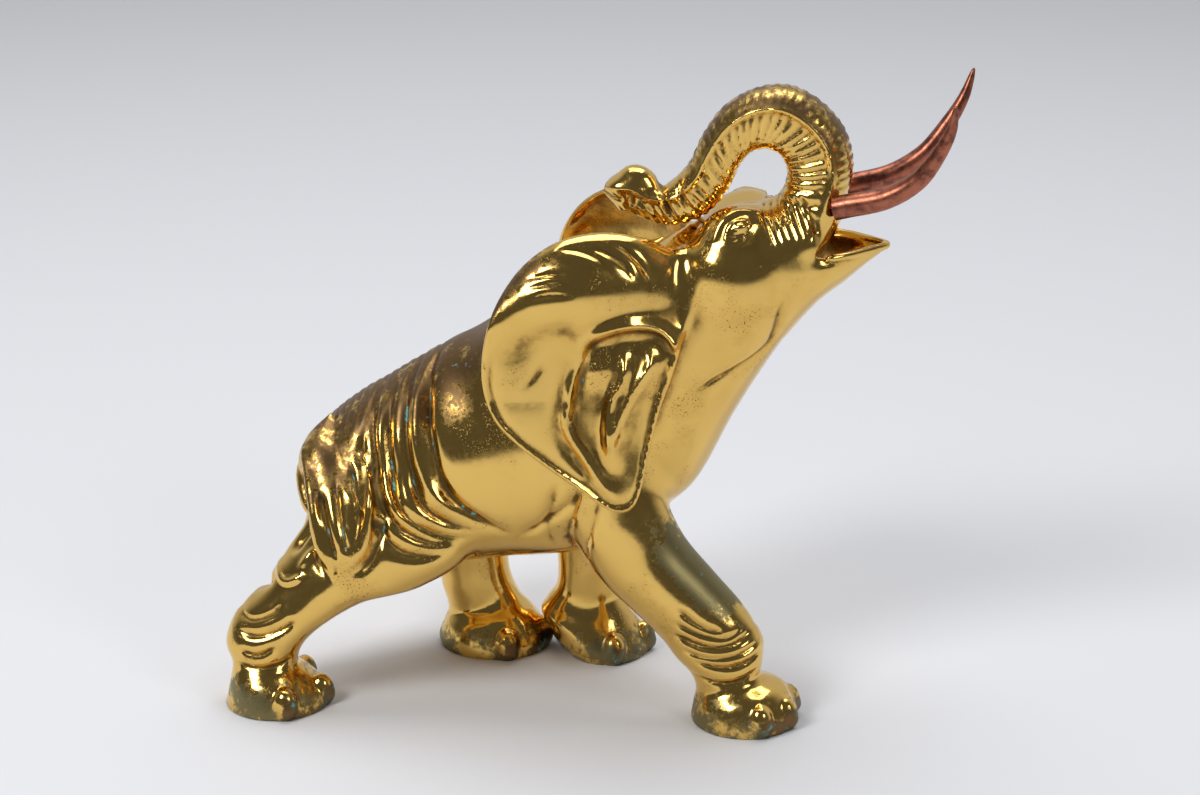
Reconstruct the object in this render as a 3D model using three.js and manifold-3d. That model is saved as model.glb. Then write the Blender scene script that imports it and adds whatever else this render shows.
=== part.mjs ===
// A striding bronze elephant with its head thrown up and its trunk curled back over the forehead:
// one hollow-cast figure, modelled solid, and two copper tusks set into the face.
//
// Millimetres, +Z up. The animal faces +X and its left side is +Y. Every form is carved from rails in
// side view, written as [x, z] pairs from the middle of the floor under the figure: an upper (or front)
// rail, a lower (or rear) rail, and the half width across. MIDDLE then puts the origin under the centre
// of the whole figure.

import * as THREE from "three";
import { mergeVertices } from "three/addons/utils/BufferGeometryUtils.js";
import Module from "manifold-3d";

const wasm = await Module();
wasm.setup();
const { degToRad, lerp, smoothstep } = THREE.MathUtils;

// ---------------------------------------------------------------- driving dimensions
const RIGHT = -1;                       // side facing -Y
const LEFT = 1;                         // side facing +Y
const MIDDLE = { x: -2.2, y: -0.8 };    // centre of the figure in the carving's own frame
const STANCE = 36;                      // left feet, out from the middle plane
const FORE_OUT = 40;                    // right fore foot, out from the middle plane
const HIND_OUT = 52;                    // right hind foot, out from the middle plane
const FOOT = 26;                        // half the width of a foot at the floor
const ANKLE = 15.5;                     // half the width above the foot
const BARREL = 49;                      // half the width of the belly
const BROW = 36;                        // half the width of the head at the eyes
const EYE = { x: 68, z: 247, long: 11, tall: 6, proud: 2.6, tilt: 30 };
const EAR_THICKNESS = 4.5;
const EAR_STAND = 41;                   // how far an ear's front edge is from the middle plane
const EAR_SET = {                       // length of each ear as seen from the side, and its slope outwards
  right: { squeeze: 1, flare: 0.24 },
  left: { squeeze: 0.87, flare: 0.36 },
};
const BOWL = 4;                         // depth of an ear's bowl below its hood
const LEAF_FOLD = 2;                    // half the height of the folds inside an ear
const TUSK_ROOT = 5.6;                  // radius of a tusk at the face
const TUSK_SET = 7;                     // depth of a tusk's root in the face
const TUSK_SPREAD = { root: 20, tip: 33 };
const TUSK_LEAN = { x: 3.6, z: 2 };     // how far the left tusk's tip runs past the mean, and the right's short
const FIT = 0.3;                        // clearance round a tusk's root
const NAIL = 5;                         // radius of a toenail
const SKIN_FOLD = 0.05;                 // height of a loft's own folds, as a share of its half width

// ---------------------------------------------------------------- carving stations
// Ribs of each loft: [upper x, z, lower x, z, half width, centre y, lift of the widest line, folds].
const TORSO = [
  [-155, 108, -155, 108, 0, 0, 0, 0],
  [-149, 124, -148, 86, 24, 0, 0, 0],
  [-137, 138, -136, 70, 36, 0, 0, 0],
  [-122, 150, -117, 62, 42, 0, -0.1, 0.6],
  [-108, 159, -98, 60, 45, 0, -0.15, 1],
  [-95, 167.5, -80, 62, 46.5, 0, -0.15, 1],
  [-82, 175.5, -62, 65, 47.5, 0, -0.2, 1],
  [-69, 182.5, -45, 68, 48.5, 0, -0.2, 0.8],
  [-48, 192, -25, 70, BARREL, 0, -0.2, 0],
  [-25, 201, -8, 73, BARREL, 0, -0.2, 0],
  [0, 213, 15, 81, 46, 0, -0.2, 0],
  [18, 226, 36, 99, 42, 0, -0.1, 0],
  [35, 238, 51, 115, 39, 0, 0, 0],
  [52, 247, 68, 149, BROW, 0, 0.15, 0],
  [66, 252, 83, 175, BROW, 0, 0.2, 0],
  [80, 257, 95, 194, 33, 0, 0.15, 0],
  [92, 261, 105, 211, 29, 0, 0, 0],
  [104, 257, 112, 230, 24, 0, 0, 0],
  [111, 246, 111, 246, 0, 0, 0, 0],
];
const JAW = [
  [74, 228, 75, 187, 22, 0, 0, 0],
  [90, 240, 90, 191, 29, 0, 0.4, 0],
  [102, 240, 100, 200, 28, 0, 0.6, 0],
  [113, 238, 110, 210, 25, 0, 0.75, 0],
  [123, 238, 121, 219, 19, 0, 0.75, 0],
  [132, 238, 131, 228, 11, 0, 0.6, 0],
  [141, 236, 141, 236, 0, 0, 0, 0],
];
const MOUTH_BOWL = [
  [100, 238, 100, 232, 8, 0, 0, 0],
  [108, 246, 108, 223, 20, 0, 0, 0],
  [118, 248, 118, 223, 18, 0, 0, 0],
  [128, 248, 127, 229, 11, 0, 0, 0],
  [135, 246, 134, 234, 4, 0, 0, 0],
];
const MOUTH_GAP = [
  [102, 234, 102, 234, 0, 0, 0, 0],
  [110, 242, 111, 235, 34, 0, 0, 0],
  [120, 254, 120, 235, 42, 0, 0, 0],
  [150, 262, 150, 236, 46, 0, 0, 0],
];
const TRUNK = [
  [106, 226, 84, 232, 22, 0, 0.3, 0],
  [116, 244, 84, 246, 22.5, 0, 0.35, 0],
  [121, 262, 88, 260, 20.5, 0, 0.4, 0.5],
  [123, 278, 91, 272, 18, 0, 0.4, 0.9],
  [118, 294, 88, 280, 16.5, 0, 0.4, 0.9],
  [106, 307, 83, 283, 15.5, 0, 0.4, 0.9],
  [91, 314, 79, 283, 15, 0, 0.4, 0.9],
  [75, 312, 74, 281, 14.5, 0, 0.4, 0.9],
  [60, 303, 69, 275, 14, 0, 0.4, 0.9],
  [50, 289, 65, 266, 13, 0, 0.35, 0.9],
  [43, 274, 59, 256, 12, 0, 0.3, 0.9],
  [33, 264, 48, 247, 11, 0, 0.2, 0.5],
  [23, 264, 34, 243, 10.5, 0, 0, 0],
  [14, 269, 22, 246, 10.5, 0, 0, 0],
  [6, 266, 11, 251, 9.5, 0, 0, 0],
  [0, 259, 0, 259, 0, 0, 0, 0],
];
const RIGHT_FORELEG = [
  [4, 148, 4, 148, 0, -22, 0, 0],
  [26, 138, -19, 118, 20, -27, 0, 0],
  [36, 113, -11, 95, 22, -31, 0, 0],
  [46.5, 92, 4, 71, 21, -33, 0, 0],
  [62, 75, 21.5, 55, 19, -36, 0, 0],
  [77, 59, 35, 43, 18, -38, 0, 0.6],
  [87, 44, 43.5, 33, 18, -FORE_OUT, 0, 1.2],
  [87, 32, 51, 25, 16.5, -FORE_OUT, 0, 1.2],
  [87, 24, 54, 17, ANKLE, -FORE_OUT, 0, 0],
  [98, 19, 53, 9, 22, -FORE_OUT, 0, 0],
  [104, 9, 52, 3, 25, -FORE_OUT, 0, 0],
  [105, 0, 52, 0, FOOT, -FORE_OUT, 0, 0],
];
const RIGHT_HIND_LEG = [
  [-108, 126, -108, 126, 0, -25, 0, 0],
  [-138, 114, -62, 110, 25, -27, 0, 0],
  [-141, 97, -60, 80, 27, -31, 0, 0],
  [-153, 78, -82, 63, 24, -37, 0, 0],
  [-165, 61, -109, 56, 20, -43, 0, 0],
  [-178, 47, -128, 46, 18, -48, 0, 0.8],
  [-183, 33, -142, 34, 17, -51, 0, 1.2],
  [-180, 22, -147, 22, 16, -HIND_OUT, 0, 0],
  [-181, 13, -141, 16, 22, -HIND_OUT, 0, 0],
  [-183, 4, -133, 8, 25, -HIND_OUT, 0, 0],
  [-184, 0, -131, 0, FOOT, -HIND_OUT, 0, 0],
];
const LEFT_HIND_LEG = [
  [-112, 130, -112, 130, 0, 22, 0, 0],
  [-134, 110, -74, 112, 24, 27, 0, 0],
  [-112, 72, -60, 78, 21, 33, 0, 0],
  [-93, 47, -55, 55, 18, 36, 0, 0],
  [-89, 32, -53, 40, 17, STANCE, 0, 0.6],
  [-86, 20, -48, 28, ANKLE + 1, STANCE, 0, 0],
  [-88, 13, -41, 20, 22, STANCE, 0, 0],
  [-91, 5, -33, 8, 25, STANCE, 0, 0],
  [-90, 0, -32, 0, FOOT, STANCE, 0, 0],
];
const LEFT_FORELEG = [
  [12, 142, 12, 142, 0, 20, 0, 0],
  [-16, 118, 36, 122, 20, 28, 0, 0],
  [-28, 86, 27, 90, 20, 33, 0, 0],
  [-28, 61, 14, 64, 18, 36, 0, 0],
  [-27, 47, 8, 48, 17, STANCE, 0, 0],
  [-28, 36, 6, 33, ANKLE + 1, STANCE, 0, 0.6],
  [-33, 28, 11, 23, 18, STANCE, 0, 0],
  [-36, 21, 17, 13, 22, STANCE, 0, 0],
  [-30, 9, 21, 4, 25, STANCE, 0, 0],
  [-22, 0, 21, 0, FOOT - 2, STANCE, 0, 0],
];
const TAIL_FLAP = [
  [-135, 142, -135, 142, 0, -12, 0, 0],
  [-146, 131, -126, 130, 12, -20, 0, 0],
  [-150, 117, -120, 122, 14, -27, 0, 0],
  [-146, 104, -110, 112, 14, -37, 0, 0],
  [-137, 92, -107, 97, 11, -48, 0, 0],
  [-131, 80, -110, 84, 7, -54, 0, 0],
  [-123, 67, -121, 68, 3, -54, 0, 0],
];
const TUSK_PATH = [[122, 261], [140, 266], [155, 276], [165, 290], [171.5, 303], [174.5, 316]];

// Ear outline, from the crown round the back to the tip and up the front, and the bowl under its hood.
const EAR = [
  [41, 236], [27, 245], [8, 249], [-12, 246], [-29, 235], [-41, 218], [-47, 198], [-47, 178],
  [-42, 162], [-32, 149], [-17, 137], [0, 126], [14, 118], [23, 117], [29, 125], [34, 143],
  [38, 164], [44, 186], [47, 205], [47, 222],
];
const EAR_BOWL = { x: 17, z: 160, wide: 18, tall: 38 };
// Leaf inside the bowl, from its top to the ear's tip: [back edge x, front edge x, z].
const EAR_LEAF = [[20, 20, 203], [2, 40, 192], [-3, 41, 176], [-2, 38, 160], [5, 35, 144], [14, 30, 130], [22, 22, 118]];

// Rolls laid on the skin: [width, height, [x, z] points in side view].
const BELLY_FOLD = [8, 2.4, [[-60, 99], [-44, 90], [-26, 94], [-10, 110], [2, 125]]];
const ARMPIT_FOLDS = [
  [6, 2.2, [[-12, 118], [-17, 102], [-13, 82]]],
  [6, 2, [[0, 118], [-6, 102], [-4, 80]]],
];
const JAW_CREASE = [5, 2.4, [[94, 216], [89, 200], [78, 185], [62, 176], [47, 168]]];
const BROW_RIDGE = [8, 4.2, [[50, 237], [54, 246], [62, 251], [72, 252], [80, 250]]];
const LOWER_LID = [4, 2.8, [[57, 241], [65, 242], [72, 246]]];
const TRUNK_ROOT_FOLD = [5, 3, [[83, 257], [88, 246], [95, 233]]];
const EAR_HOOD = [8, 3, [[-1, 190], [10, 203], [26, 207], [39, 200], [44, 188]]];

// ---------------------------------------------------------------- curves and skins
/** Catmull-Rom through rows of numbers; t counts rows, and the ends run on straight. */
function along(rows, t) {
  const i = Math.min(Math.floor(t), rows.length - 2);
  const f = t - i;
  const row = (k) => {
    if (k < 0) return rows[0].map((v, j) => 2 * v - rows[1][j]);
    if (k >= rows.length) return rows.at(-1).map((v, j) => 2 * v - rows.at(-2)[j]);
    return rows[k];
  };
  const [a, b, c, d] = [row(i - 1), row(i), row(i + 1), row(i + 2)];
  return b.map((_, j) => 0.5 * (2 * b[j] + (c[j] - a[j]) * f
    + (2 * a[j] - 5 * b[j] + 4 * c[j] - d[j]) * f * f
    + (3 * b[j] - a[j] - 3 * c[j] + d[j]) * f * f * f));
}

/** Closed skin over rings of equal count, each end closed to a point. */
function skin(rings, first, last) {
  const sides = rings[0].length;
  const position = [first, ...rings.flat(), last].flatMap((p) => p.toArray());
  const end = rings.length * sides + 1;
  const at = (ring, side) => 1 + ring * sides + (side % sides);
  const index = [];
  for (let s = 0; s < sides; s++) {
    index.push(0, at(0, s), at(0, s + 1));
    index.push(end, at(rings.length - 1, s + 1), at(rings.length - 1, s));
    for (let r = 0; r + 1 < rings.length; r++) {
      index.push(at(r, s), at(r + 1, s), at(r + 1, s + 1));
      index.push(at(r, s), at(r + 1, s + 1), at(r, s + 1));
    }
  }
  const geometry = new THREE.BufferGeometry();
  geometry.setAttribute("position", new THREE.Float32BufferAttribute(position, 3));
  geometry.setIndex(index);
  return outward(geometry);
}

/** Turns a closed skin's faces round when its signed volume is negative. */
function outward(geometry) {
  const { index, attributes: { position } } = geometry;
  const corner = (i) => new THREE.Vector3().fromBufferAttribute(position, index.getX(i));
  let volume = 0;
  for (let i = 0; i < index.count; i += 3) volume += corner(i).dot(corner(i + 1).cross(corner(i + 2)));
  if (volume < 0) {
    for (let i = 0; i < index.count; i += 3) {
      const b = index.getX(i + 1);
      index.setX(i + 1, index.getX(i + 2));
      index.setX(i + 2, b);
    }
  }
  return geometry;
}

/** Loft over ribs. Each rib's last value raises every second ring there, as folds across the form. */
function loft(ribs, { steps = 2, sides = 11 } = {}) {
  const rings = [];
  const count = (ribs.length - 1) * steps;
  for (let s = 0; s <= count; s++) {
    const [ux, uz, lx, lz, half, cy, lift, folds] = along(ribs, s / steps);
    if (half < 0.4) continue;
    const grown = 1 + (s % 2 === 0 ? SKIN_FOLD * folds : 0);
    const ring = [];
    for (let k = 0; k < sides; k++) {
      const angle = (2 * Math.PI * k) / sides;
      const up = Math.cos(angle);
      const h = 0.5 + 0.5 * (up * grown + 0.5 * lift * (1 - up * up));
      ring.push(new THREE.Vector3(lerp(lx, ux, h), cy + half * grown * Math.sin(angle), lerp(lz, uz, h)));
    }
    rings.push(ring);
  }
  const close = (rib, ring) => (rib[4] > 0
    ? ring.reduce((sum, p) => sum.add(p), new THREE.Vector3()).divideScalar(sides)
    : new THREE.Vector3(rib[0], rib[5], rib[1]));
  return skin(rings, close(ribs[0], rings[0]), close(ribs.at(-1), rings.at(-1)));
}

/** Round bar along points, with radius(f) at fraction f of its length. */
function bar(points, radius, { steps, sides }) {
  const curve = new THREE.CatmullRomCurve3(points);
  const rings = [];
  for (let s = 0; s <= steps; s++) {
    const tangent = curve.getTangentAt(s / steps);
    const normal = new THREE.Vector3(0, 1, 0);
    normal.addScaledVector(tangent, -normal.dot(tangent)).normalize();
    const side = new THREE.Vector3().crossVectors(tangent, normal);
    const ring = [];
    for (let k = 0; k < sides; k++) {
      const angle = (2 * Math.PI * k) / sides;
      ring.push(curve.getPointAt(s / steps)
        .addScaledVector(normal, radius(s / steps) * Math.cos(angle))
        .addScaledVector(side, radius(s / steps) * Math.sin(angle)));
    }
    rings.push(ring);
  }
  return skin(rings, curve.getPointAt(0), curve.getPointAt(1));
}

// ---------------------------------------------------------------- solids
/** A closed geometry as a solid that can be joined and cut. */
function solid(geometry) {
  const bare = geometry.clone();
  bare.deleteAttribute("normal");
  bare.deleteAttribute("uv");
  const merged = mergeVertices(bare, 1e-4);
  return new wasm.Manifold(new wasm.Mesh({
    numProp: 3,
    vertProperties: new Float32Array(merged.attributes.position.array),
    triVerts: new Uint32Array(merged.index.array),
  }));
}

const joined = (solids) => solids.reduce((sum, next) => sum.add(next));

/** Y of the outermost skin of a mesh where the line through [x, z] along Y leaves it on one side. */
function skinY({ vertProperties: v, triVerts: t }, x, z, side) {
  let found = null;
  for (let i = 0; i < t.length; i += 3) {
    const [a, b, c] = [t[i] * 3, t[i + 1] * 3, t[i + 2] * 3];
    const area = (v[b] - v[a]) * (v[c + 2] - v[a + 2]) - (v[c] - v[a]) * (v[b + 2] - v[a + 2]);
    if (Math.abs(area) < 1e-9) continue;
    const toB = ((x - v[a]) * (v[c + 2] - v[a + 2]) - (v[c] - v[a]) * (z - v[a + 2])) / area;
    const toC = ((v[b] - v[a]) * (z - v[a + 2]) - (x - v[a]) * (v[b + 2] - v[a + 2])) / area;
    if (toB < 0 || toC < 0 || toB + toC > 1) continue;
    const y = v[a + 1] + toB * (v[b + 1] - v[a + 1]) + toC * (v[c + 1] - v[a + 1]);
    if (found === null || y * side > found * side) found = y;
  }
  return found;
}

/** A roll of skin laid along side-view points on one side of a mesh, thinner at its ends. */
function roll(mesh, [width, height, points], side) {
  const laid = [];
  for (const [x, z] of points) {
    const y = skinY(mesh, x, z, side);
    if (y !== null) laid.push(new THREE.Vector3(x, y + side * (height - width / 2), z));
  }
  const radius = (f) => (width / 2) * (0.3 + 0.7 * Math.sin(Math.PI * (0.08 + 0.84 * f)));
  return solid(bar(laid, radius, { steps: points.length + 2, sides: 4 }));
}

// ---------------------------------------------------------------- the animal's parts
/** Place on an ear's front face, `depth` proud of it: flush with the head in front, out at the back. */
function onEar(side, { squeeze, flare }, x, z, depth) {
  const merge = smoothstep(x, 20, 46) * smoothstep(z, 190, 215);
  const off = EAR_STAND + flare * (47 - x) + 0.12 * Math.max(0, 170 - z) - 7 * merge;
  return new THREE.Vector3(47 - (47 - x) * squeeze, side * (off + depth), z);
}

/** Ear: two skins that share the rim, ringed first round the sunk bowl and then out to the outline. */
function ear(side, set, { around = 24, rounds = 5, inner = 2 } = {}) {
  const outline = [...EAR, EAR[0]];
  const ring = (r, face) => Array.from({ length: around }, (_, k) => {
    const [x, z] = along(outline, (k / around) * EAR.length);
    const turn = Math.atan2(z - EAR_BOWL.z, x - EAR_BOWL.x);
    const reach = 1 / Math.hypot(Math.cos(turn) / EAR_BOWL.wide, Math.sin(turn) / EAR_BOWL.tall);
    const brim = { x: EAR_BOWL.x + reach * Math.cos(turn), z: EAR_BOWL.z + reach * Math.sin(turn) };
    const inside = r <= inner;
    const f = inside ? r / inner : (r - inner) / (rounds - inner);
    const px = inside ? lerp(EAR_BOWL.x, brim.x, f) : lerp(brim.x, x, f);
    const pz = inside ? lerp(EAR_BOWL.z, brim.z, f) : lerp(brim.z, z, f);
    const swell = 0.5 * EAR_THICKNESS * Math.sqrt(1 - (0.97 * r / rounds) ** 4);
    return onEar(side, set, px, pz, face * swell - (inside ? BOWL * (1 - f * f) : 0));
  });
  const shares = Array.from({ length: rounds }, (_, i) => i + 1);
  const rings = [...shares.map((r) => ring(r, 1)), ...shares.toReversed().map((r) => ring(r, -1))];
  const hub = (face) => onEar(side, set, EAR_BOWL.x, EAR_BOWL.z, (face * EAR_THICKNESS) / 2 - BOWL);
  return solid(skin(rings, hub(1), hub(-1)));
}

/** Leaf of skin inside an ear's bowl, hanging to the tip in upright S-shaped folds. */
function earLeaf(side, set, { rows = 8, across = 8 } = {}) {
  const rings = Array.from({ length: rows }, (_, i) => {
    const u = (i + 0.5) / rows;
    const [back, front, z] = along(EAR_LEAF, u * (EAR_LEAF.length - 1));
    const wave = (v) => LEAF_FOLD * Math.sin(Math.PI * v) ** 0.5
      * (1 + Math.cos(2 * Math.PI * (2.5 * v + 0.16 * Math.sin(2 * Math.PI * u)))) * Math.sin(Math.PI * u);
    const face = Array.from({ length: across }, (_, k) => {
      const v = k / (across - 1);
      return onEar(side, set, lerp(back, front, v), z, wave(v) - 1);
    });
    return [...face, onEar(side, set, lerp(back, front, 0.75), z, -4), onEar(side, set, lerp(back, front, 0.25), z, -4)];
  });
  const [top, tip] = [EAR_LEAF[0], EAR_LEAF.at(-1)];
  return solid(skin(rings, onEar(side, set, top[0], top[2], -1), onEar(side, set, tip[0], tip[2], -1)));
}

/** Root that carries an ear on the side of the head. */
function earRoot(side) {
  return solid(loft([
    [28, 228, 28, 228, 0, side * 32, 0, 0],
    [12, 220, 32, 220, 8, side * 34, 0, 0],
    [8, 202, 30, 202, 9, side * 35, 0, 0],
    [14, 186, 30, 186, 7, side * 35, 0, 0],
    [22, 174, 22, 174, 0, side * 34, 0, 0],
  ], { sides: 10 }));
}

/** Eyeball bulging from the side of a mesh between its lids. */
function eye(mesh, side) {
  const ball = new THREE.SphereGeometry(1, 8, 5);
  ball.scale(EYE.long / 2, EYE.proud, EYE.tall / 2);
  ball.rotateY(-degToRad(EYE.tilt));
  ball.translate(EYE.x, skinY(mesh, EYE.x, EYE.z, side), EYE.z);
  return solid(ball);
}

/** Round nails on the front rim of a foot whose centre is at (x, y). */
function nails(x, y, reach, count) {
  return Array.from({ length: count }, (_, i) => {
    const turn = degToRad(-66 + (132 / (count - 1)) * i);
    const nail = new THREE.SphereGeometry(NAIL, 6, 4);
    nail.scale(0.8, 1, 1.1);
    nail.rotateZ(turn);
    nail.translate(x + (reach - 2) * Math.cos(turn), y + (FOOT - 3) * Math.sin(turn), 1.2 * NAIL);
    return solid(nail);
  });
}

/** Tusk from its root deep in the face to its point; `room` grows it into its own socket. */
function tusk(side, room = 0) {
  const path = TUSK_PATH.map(([x, z], i) => {
    const f = i / (TUSK_PATH.length - 1);
    const [lean, rise] = [side * TUSK_LEAN.x * f * f, side * TUSK_LEAN.z * f * f];
    return new THREE.Vector3(x + lean, side * lerp(TUSK_SPREAD.root, TUSK_SPREAD.tip, f), z + rise);
  });
  const inward = path[0].clone().sub(path[1]).normalize();
  path.unshift(path[0].clone().addScaledVector(inward, TUSK_SET + room));
  const radius = (f) => TUSK_ROOT * (1 - f) ** 0.55 * (1 + 0.25 * f) + room + 0.25;
  return solid(bar(path, radius, { steps: 12, sides: 10 }));
}

/** The whole cast figure. */
function casting() {
  const jaw = solid(loft(JAW)).subtract(solid(loft(MOUTH_BOWL, { sides: 10 })));
  const legs = [RIGHT_FORELEG, RIGHT_HIND_LEG, LEFT_FORELEG, LEFT_HIND_LEG].map((ribs) => solid(loft(ribs)));
  const head = joined([solid(loft(TORSO, { sides: 18 })), jaw])
    .subtract(solid(loft(MOUTH_GAP, { steps: 1, sides: 8 })));
  const body = joined([head, ...legs, solid(loft(TRUNK, { steps: 3 }))]);
  const hide = body.getMesh();
  const bothSides = [RIGHT, LEFT].flatMap((side) => {
    const set = side === RIGHT ? EAR_SET.right : EAR_SET.left;
    const shape = ear(side, set);
    const rolls = [BELLY_FOLD, ARMPIT_FOLDS[0], JAW_CREASE, BROW_RIDGE, LOWER_LID];
    if (side === RIGHT) rolls.push(ARMPIT_FOLDS[1], TRUNK_ROOT_FOLD);
    return [
      shape, earRoot(side), earLeaf(side, set), eye(hide, side), roll(shape.getMesh(), EAR_HOOD, side),
      ...rolls.map((line) => roll(hide, line, side)),
    ];
  });
  const feet = [
    ...nails(79, -FORE_OUT, 25, 4), ...nails(-158, -HIND_OUT, 26, 3),
    ...nails(-61, STANCE, 27, 3), ...nails(-4, STANCE, 25, 3),
  ];
  return joined([body, ...bothSides, solid(loft(TAIL_FLAP)), ...feet])
    .subtract(tusk(RIGHT, FIT)).subtract(tusk(LEFT, FIT));
}

// ---------------------------------------------------------------- the whole figure
/** Named mesh from a solid. */
function part(name, body, material) {
  const { vertProperties, triVerts } = body.getMesh();
  const geometry = new THREE.BufferGeometry();
  geometry.setAttribute("position", new THREE.BufferAttribute(vertProperties, 3));
  geometry.setIndex(new THREE.BufferAttribute(triVerts, 1));
  geometry.computeVertexNormals();
  const mesh = new THREE.Mesh(geometry, material);
  mesh.name = name;
  return mesh;
}

const bronze = new THREE.MeshStandardMaterial({ color: 0xb08a3c, roughness: 0.25, metalness: 1 });
const copper = new THREE.MeshStandardMaterial({ color: 0x9c4f38, roughness: 0.4, metalness: 1 });

const elephant = new THREE.Group();
elephant.add(part("elephant_casting", casting(), bronze));
elephant.add(part("tusk_right", tusk(RIGHT), copper));
elephant.add(part("tusk_left", tusk(LEFT), copper));
elephant.position.set(-MIDDLE.x, -MIDDLE.y, 0);

export default elephant;
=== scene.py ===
"""A striding elephant with its head thrown up and its trunk curled back: one polished bronze casting.

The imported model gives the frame, in metres. The figure is carved again here in fine mesh: lofts, ears and
rolls of skin are measured into one block of signed distances, blended where flesh meets flesh, and the
skin of that block gets its creases. Two copper tusks stand in the face. Lengths are millimetres in the
carving's own frame until a mesh is made: the animal faces +X, its left side is +Y, and +Z is up.
"""
import logging
import math
from dataclasses import dataclass, field
from enum import Enum
from typing import Any

import bmesh
import bpy
import numpy as np
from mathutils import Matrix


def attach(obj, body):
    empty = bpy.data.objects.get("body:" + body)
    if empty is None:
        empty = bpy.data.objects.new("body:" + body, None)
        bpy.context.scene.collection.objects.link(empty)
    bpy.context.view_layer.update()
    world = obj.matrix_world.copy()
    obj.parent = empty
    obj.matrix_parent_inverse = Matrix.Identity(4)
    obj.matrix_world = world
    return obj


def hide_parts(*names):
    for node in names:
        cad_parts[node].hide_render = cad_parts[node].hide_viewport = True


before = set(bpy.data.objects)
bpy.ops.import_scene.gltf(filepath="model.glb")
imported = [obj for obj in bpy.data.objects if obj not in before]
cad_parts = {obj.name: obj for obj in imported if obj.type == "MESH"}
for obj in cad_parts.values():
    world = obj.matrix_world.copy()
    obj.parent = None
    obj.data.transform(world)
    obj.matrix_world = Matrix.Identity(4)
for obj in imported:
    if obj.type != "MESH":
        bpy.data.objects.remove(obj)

import openvdb as vdb
from mathutils import Vector

log = logging.getLogger("elephant")

MM = 0.001
MIDDLE = np.array([-2.2, -0.8, 0.0])    # centre of the figure in the carving's own frame


class Side(Enum):
    """The two sides of the animal, as the sign of Y."""

    RIGHT = -1
    LEFT = 1


BOTH = (Side.RIGHT, Side.LEFT)


# ------------------------------------------------------------------------------ curves and surfaces
def along(rows: Any, t: np.ndarray) -> np.ndarray:
    """Catmull-Rom through rows of numbers.

    With a, b, c, d the four rows about a span and f the fraction along it, the value is half of
    2b + (c - a) f + (2a - 5b + 4c - d) f^2 + (3b - a - 3c + d) f^3; the ends run on straight.

    Args:
        rows: Rows of numbers, one row a station.
        t: Places, counted in rows.

    Returns:
        One row of numbers for each place.
    """
    rows = np.asarray(rows, float)
    t = np.asarray(t, float)
    full = np.vstack([2 * rows[:1] - rows[1:2], rows, 2 * rows[-1:] - rows[-2:-1]])
    i = np.clip(np.floor(t).astype(int), 0, len(rows) - 2)
    f = (t - i)[..., None]
    a, b, c, d = (full[i + k] for k in range(4))
    cubic = (3 * b - a - 3 * c + d) * f**3
    return 0.5 * (2 * b + (c - a) * f + (2 * a - 5 * b + 4 * c - d) * f**2 + cubic)


def curve(rows: Any, count: int = 48) -> np.ndarray:
    """Evenly counted points on the Catmull-Rom curve through rows."""
    return along(rows, np.linspace(0, len(rows) - 1, count))


def rise(x: Any, low: float, high: float) -> np.ndarray:
    """Smooth step: 3s^2 - 2s^3 with s the share of the way from low to high."""
    s = np.clip((np.asarray(x, float) - low) / (high - low), 0, 1)
    return s * s * (3 - 2 * s)


def hill(x: Any, middle: float, width: float) -> np.ndarray:
    """Gaussian: e to the minus square of (x - middle) / width."""
    return np.exp(-(((np.asarray(x, float) - middle) / width) ** 2))


def nearest(points: np.ndarray, path: np.ndarray) -> tuple[np.ndarray, np.ndarray]:
    """Distance from points to a path of straight spans, and where on the path the nearest place is.

    For each span the foot of the perpendicular is clamped to the span, and the least distance wins.

    Args:
        points: Points, n by 2 or 3.
        path: Points of the path.

    Returns:
        The distances, and the fraction of the path's spans at each nearest place.
    """
    best = np.full(len(points), 1e9)
    where = np.zeros(len(points))
    spans = len(path) - 1
    for k in range(spans):
        run = path[k + 1] - path[k]
        s = np.clip((points - path[k]) @ run / max(run @ run, 1e-9), 0, 1)
        gap = np.linalg.norm(points - path[k] - s[:, None] * run, axis=1)
        closer = gap < best
        best = np.where(closer, gap, best)
        where = np.where(closer, (k + s) / spans, where)
    return best, where


def taper(where: np.ndarray, fade: float) -> np.ndarray:
    """One along a path, fading smoothly to nought over a share of it at each end."""
    return rise(where, 0, fade) * rise(1 - where, 0, fade)


@dataclass
class Skin:
    """A closed surface of quads."""

    points: np.ndarray
    quads: np.ndarray

    @classmethod
    def over(cls, rings: np.ndarray) -> "Skin":
        """Skin over a grid of closed rings, whose first and last rings have shrunk to a point.

        Args:
            rings: Grid of points, rings by places round by 3.

        Returns:
            The closed skin.
        """
        index = np.arange(rings.shape[0] * rings.shape[1]).reshape(rings.shape[:2])
        after = np.roll(index, -1, axis=1)
        quads = np.stack([index[:-1], after[:-1], after[1:], index[1:]], -1).reshape(-1, 4)
        return cls(rings.reshape(-1, 3), quads)


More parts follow.
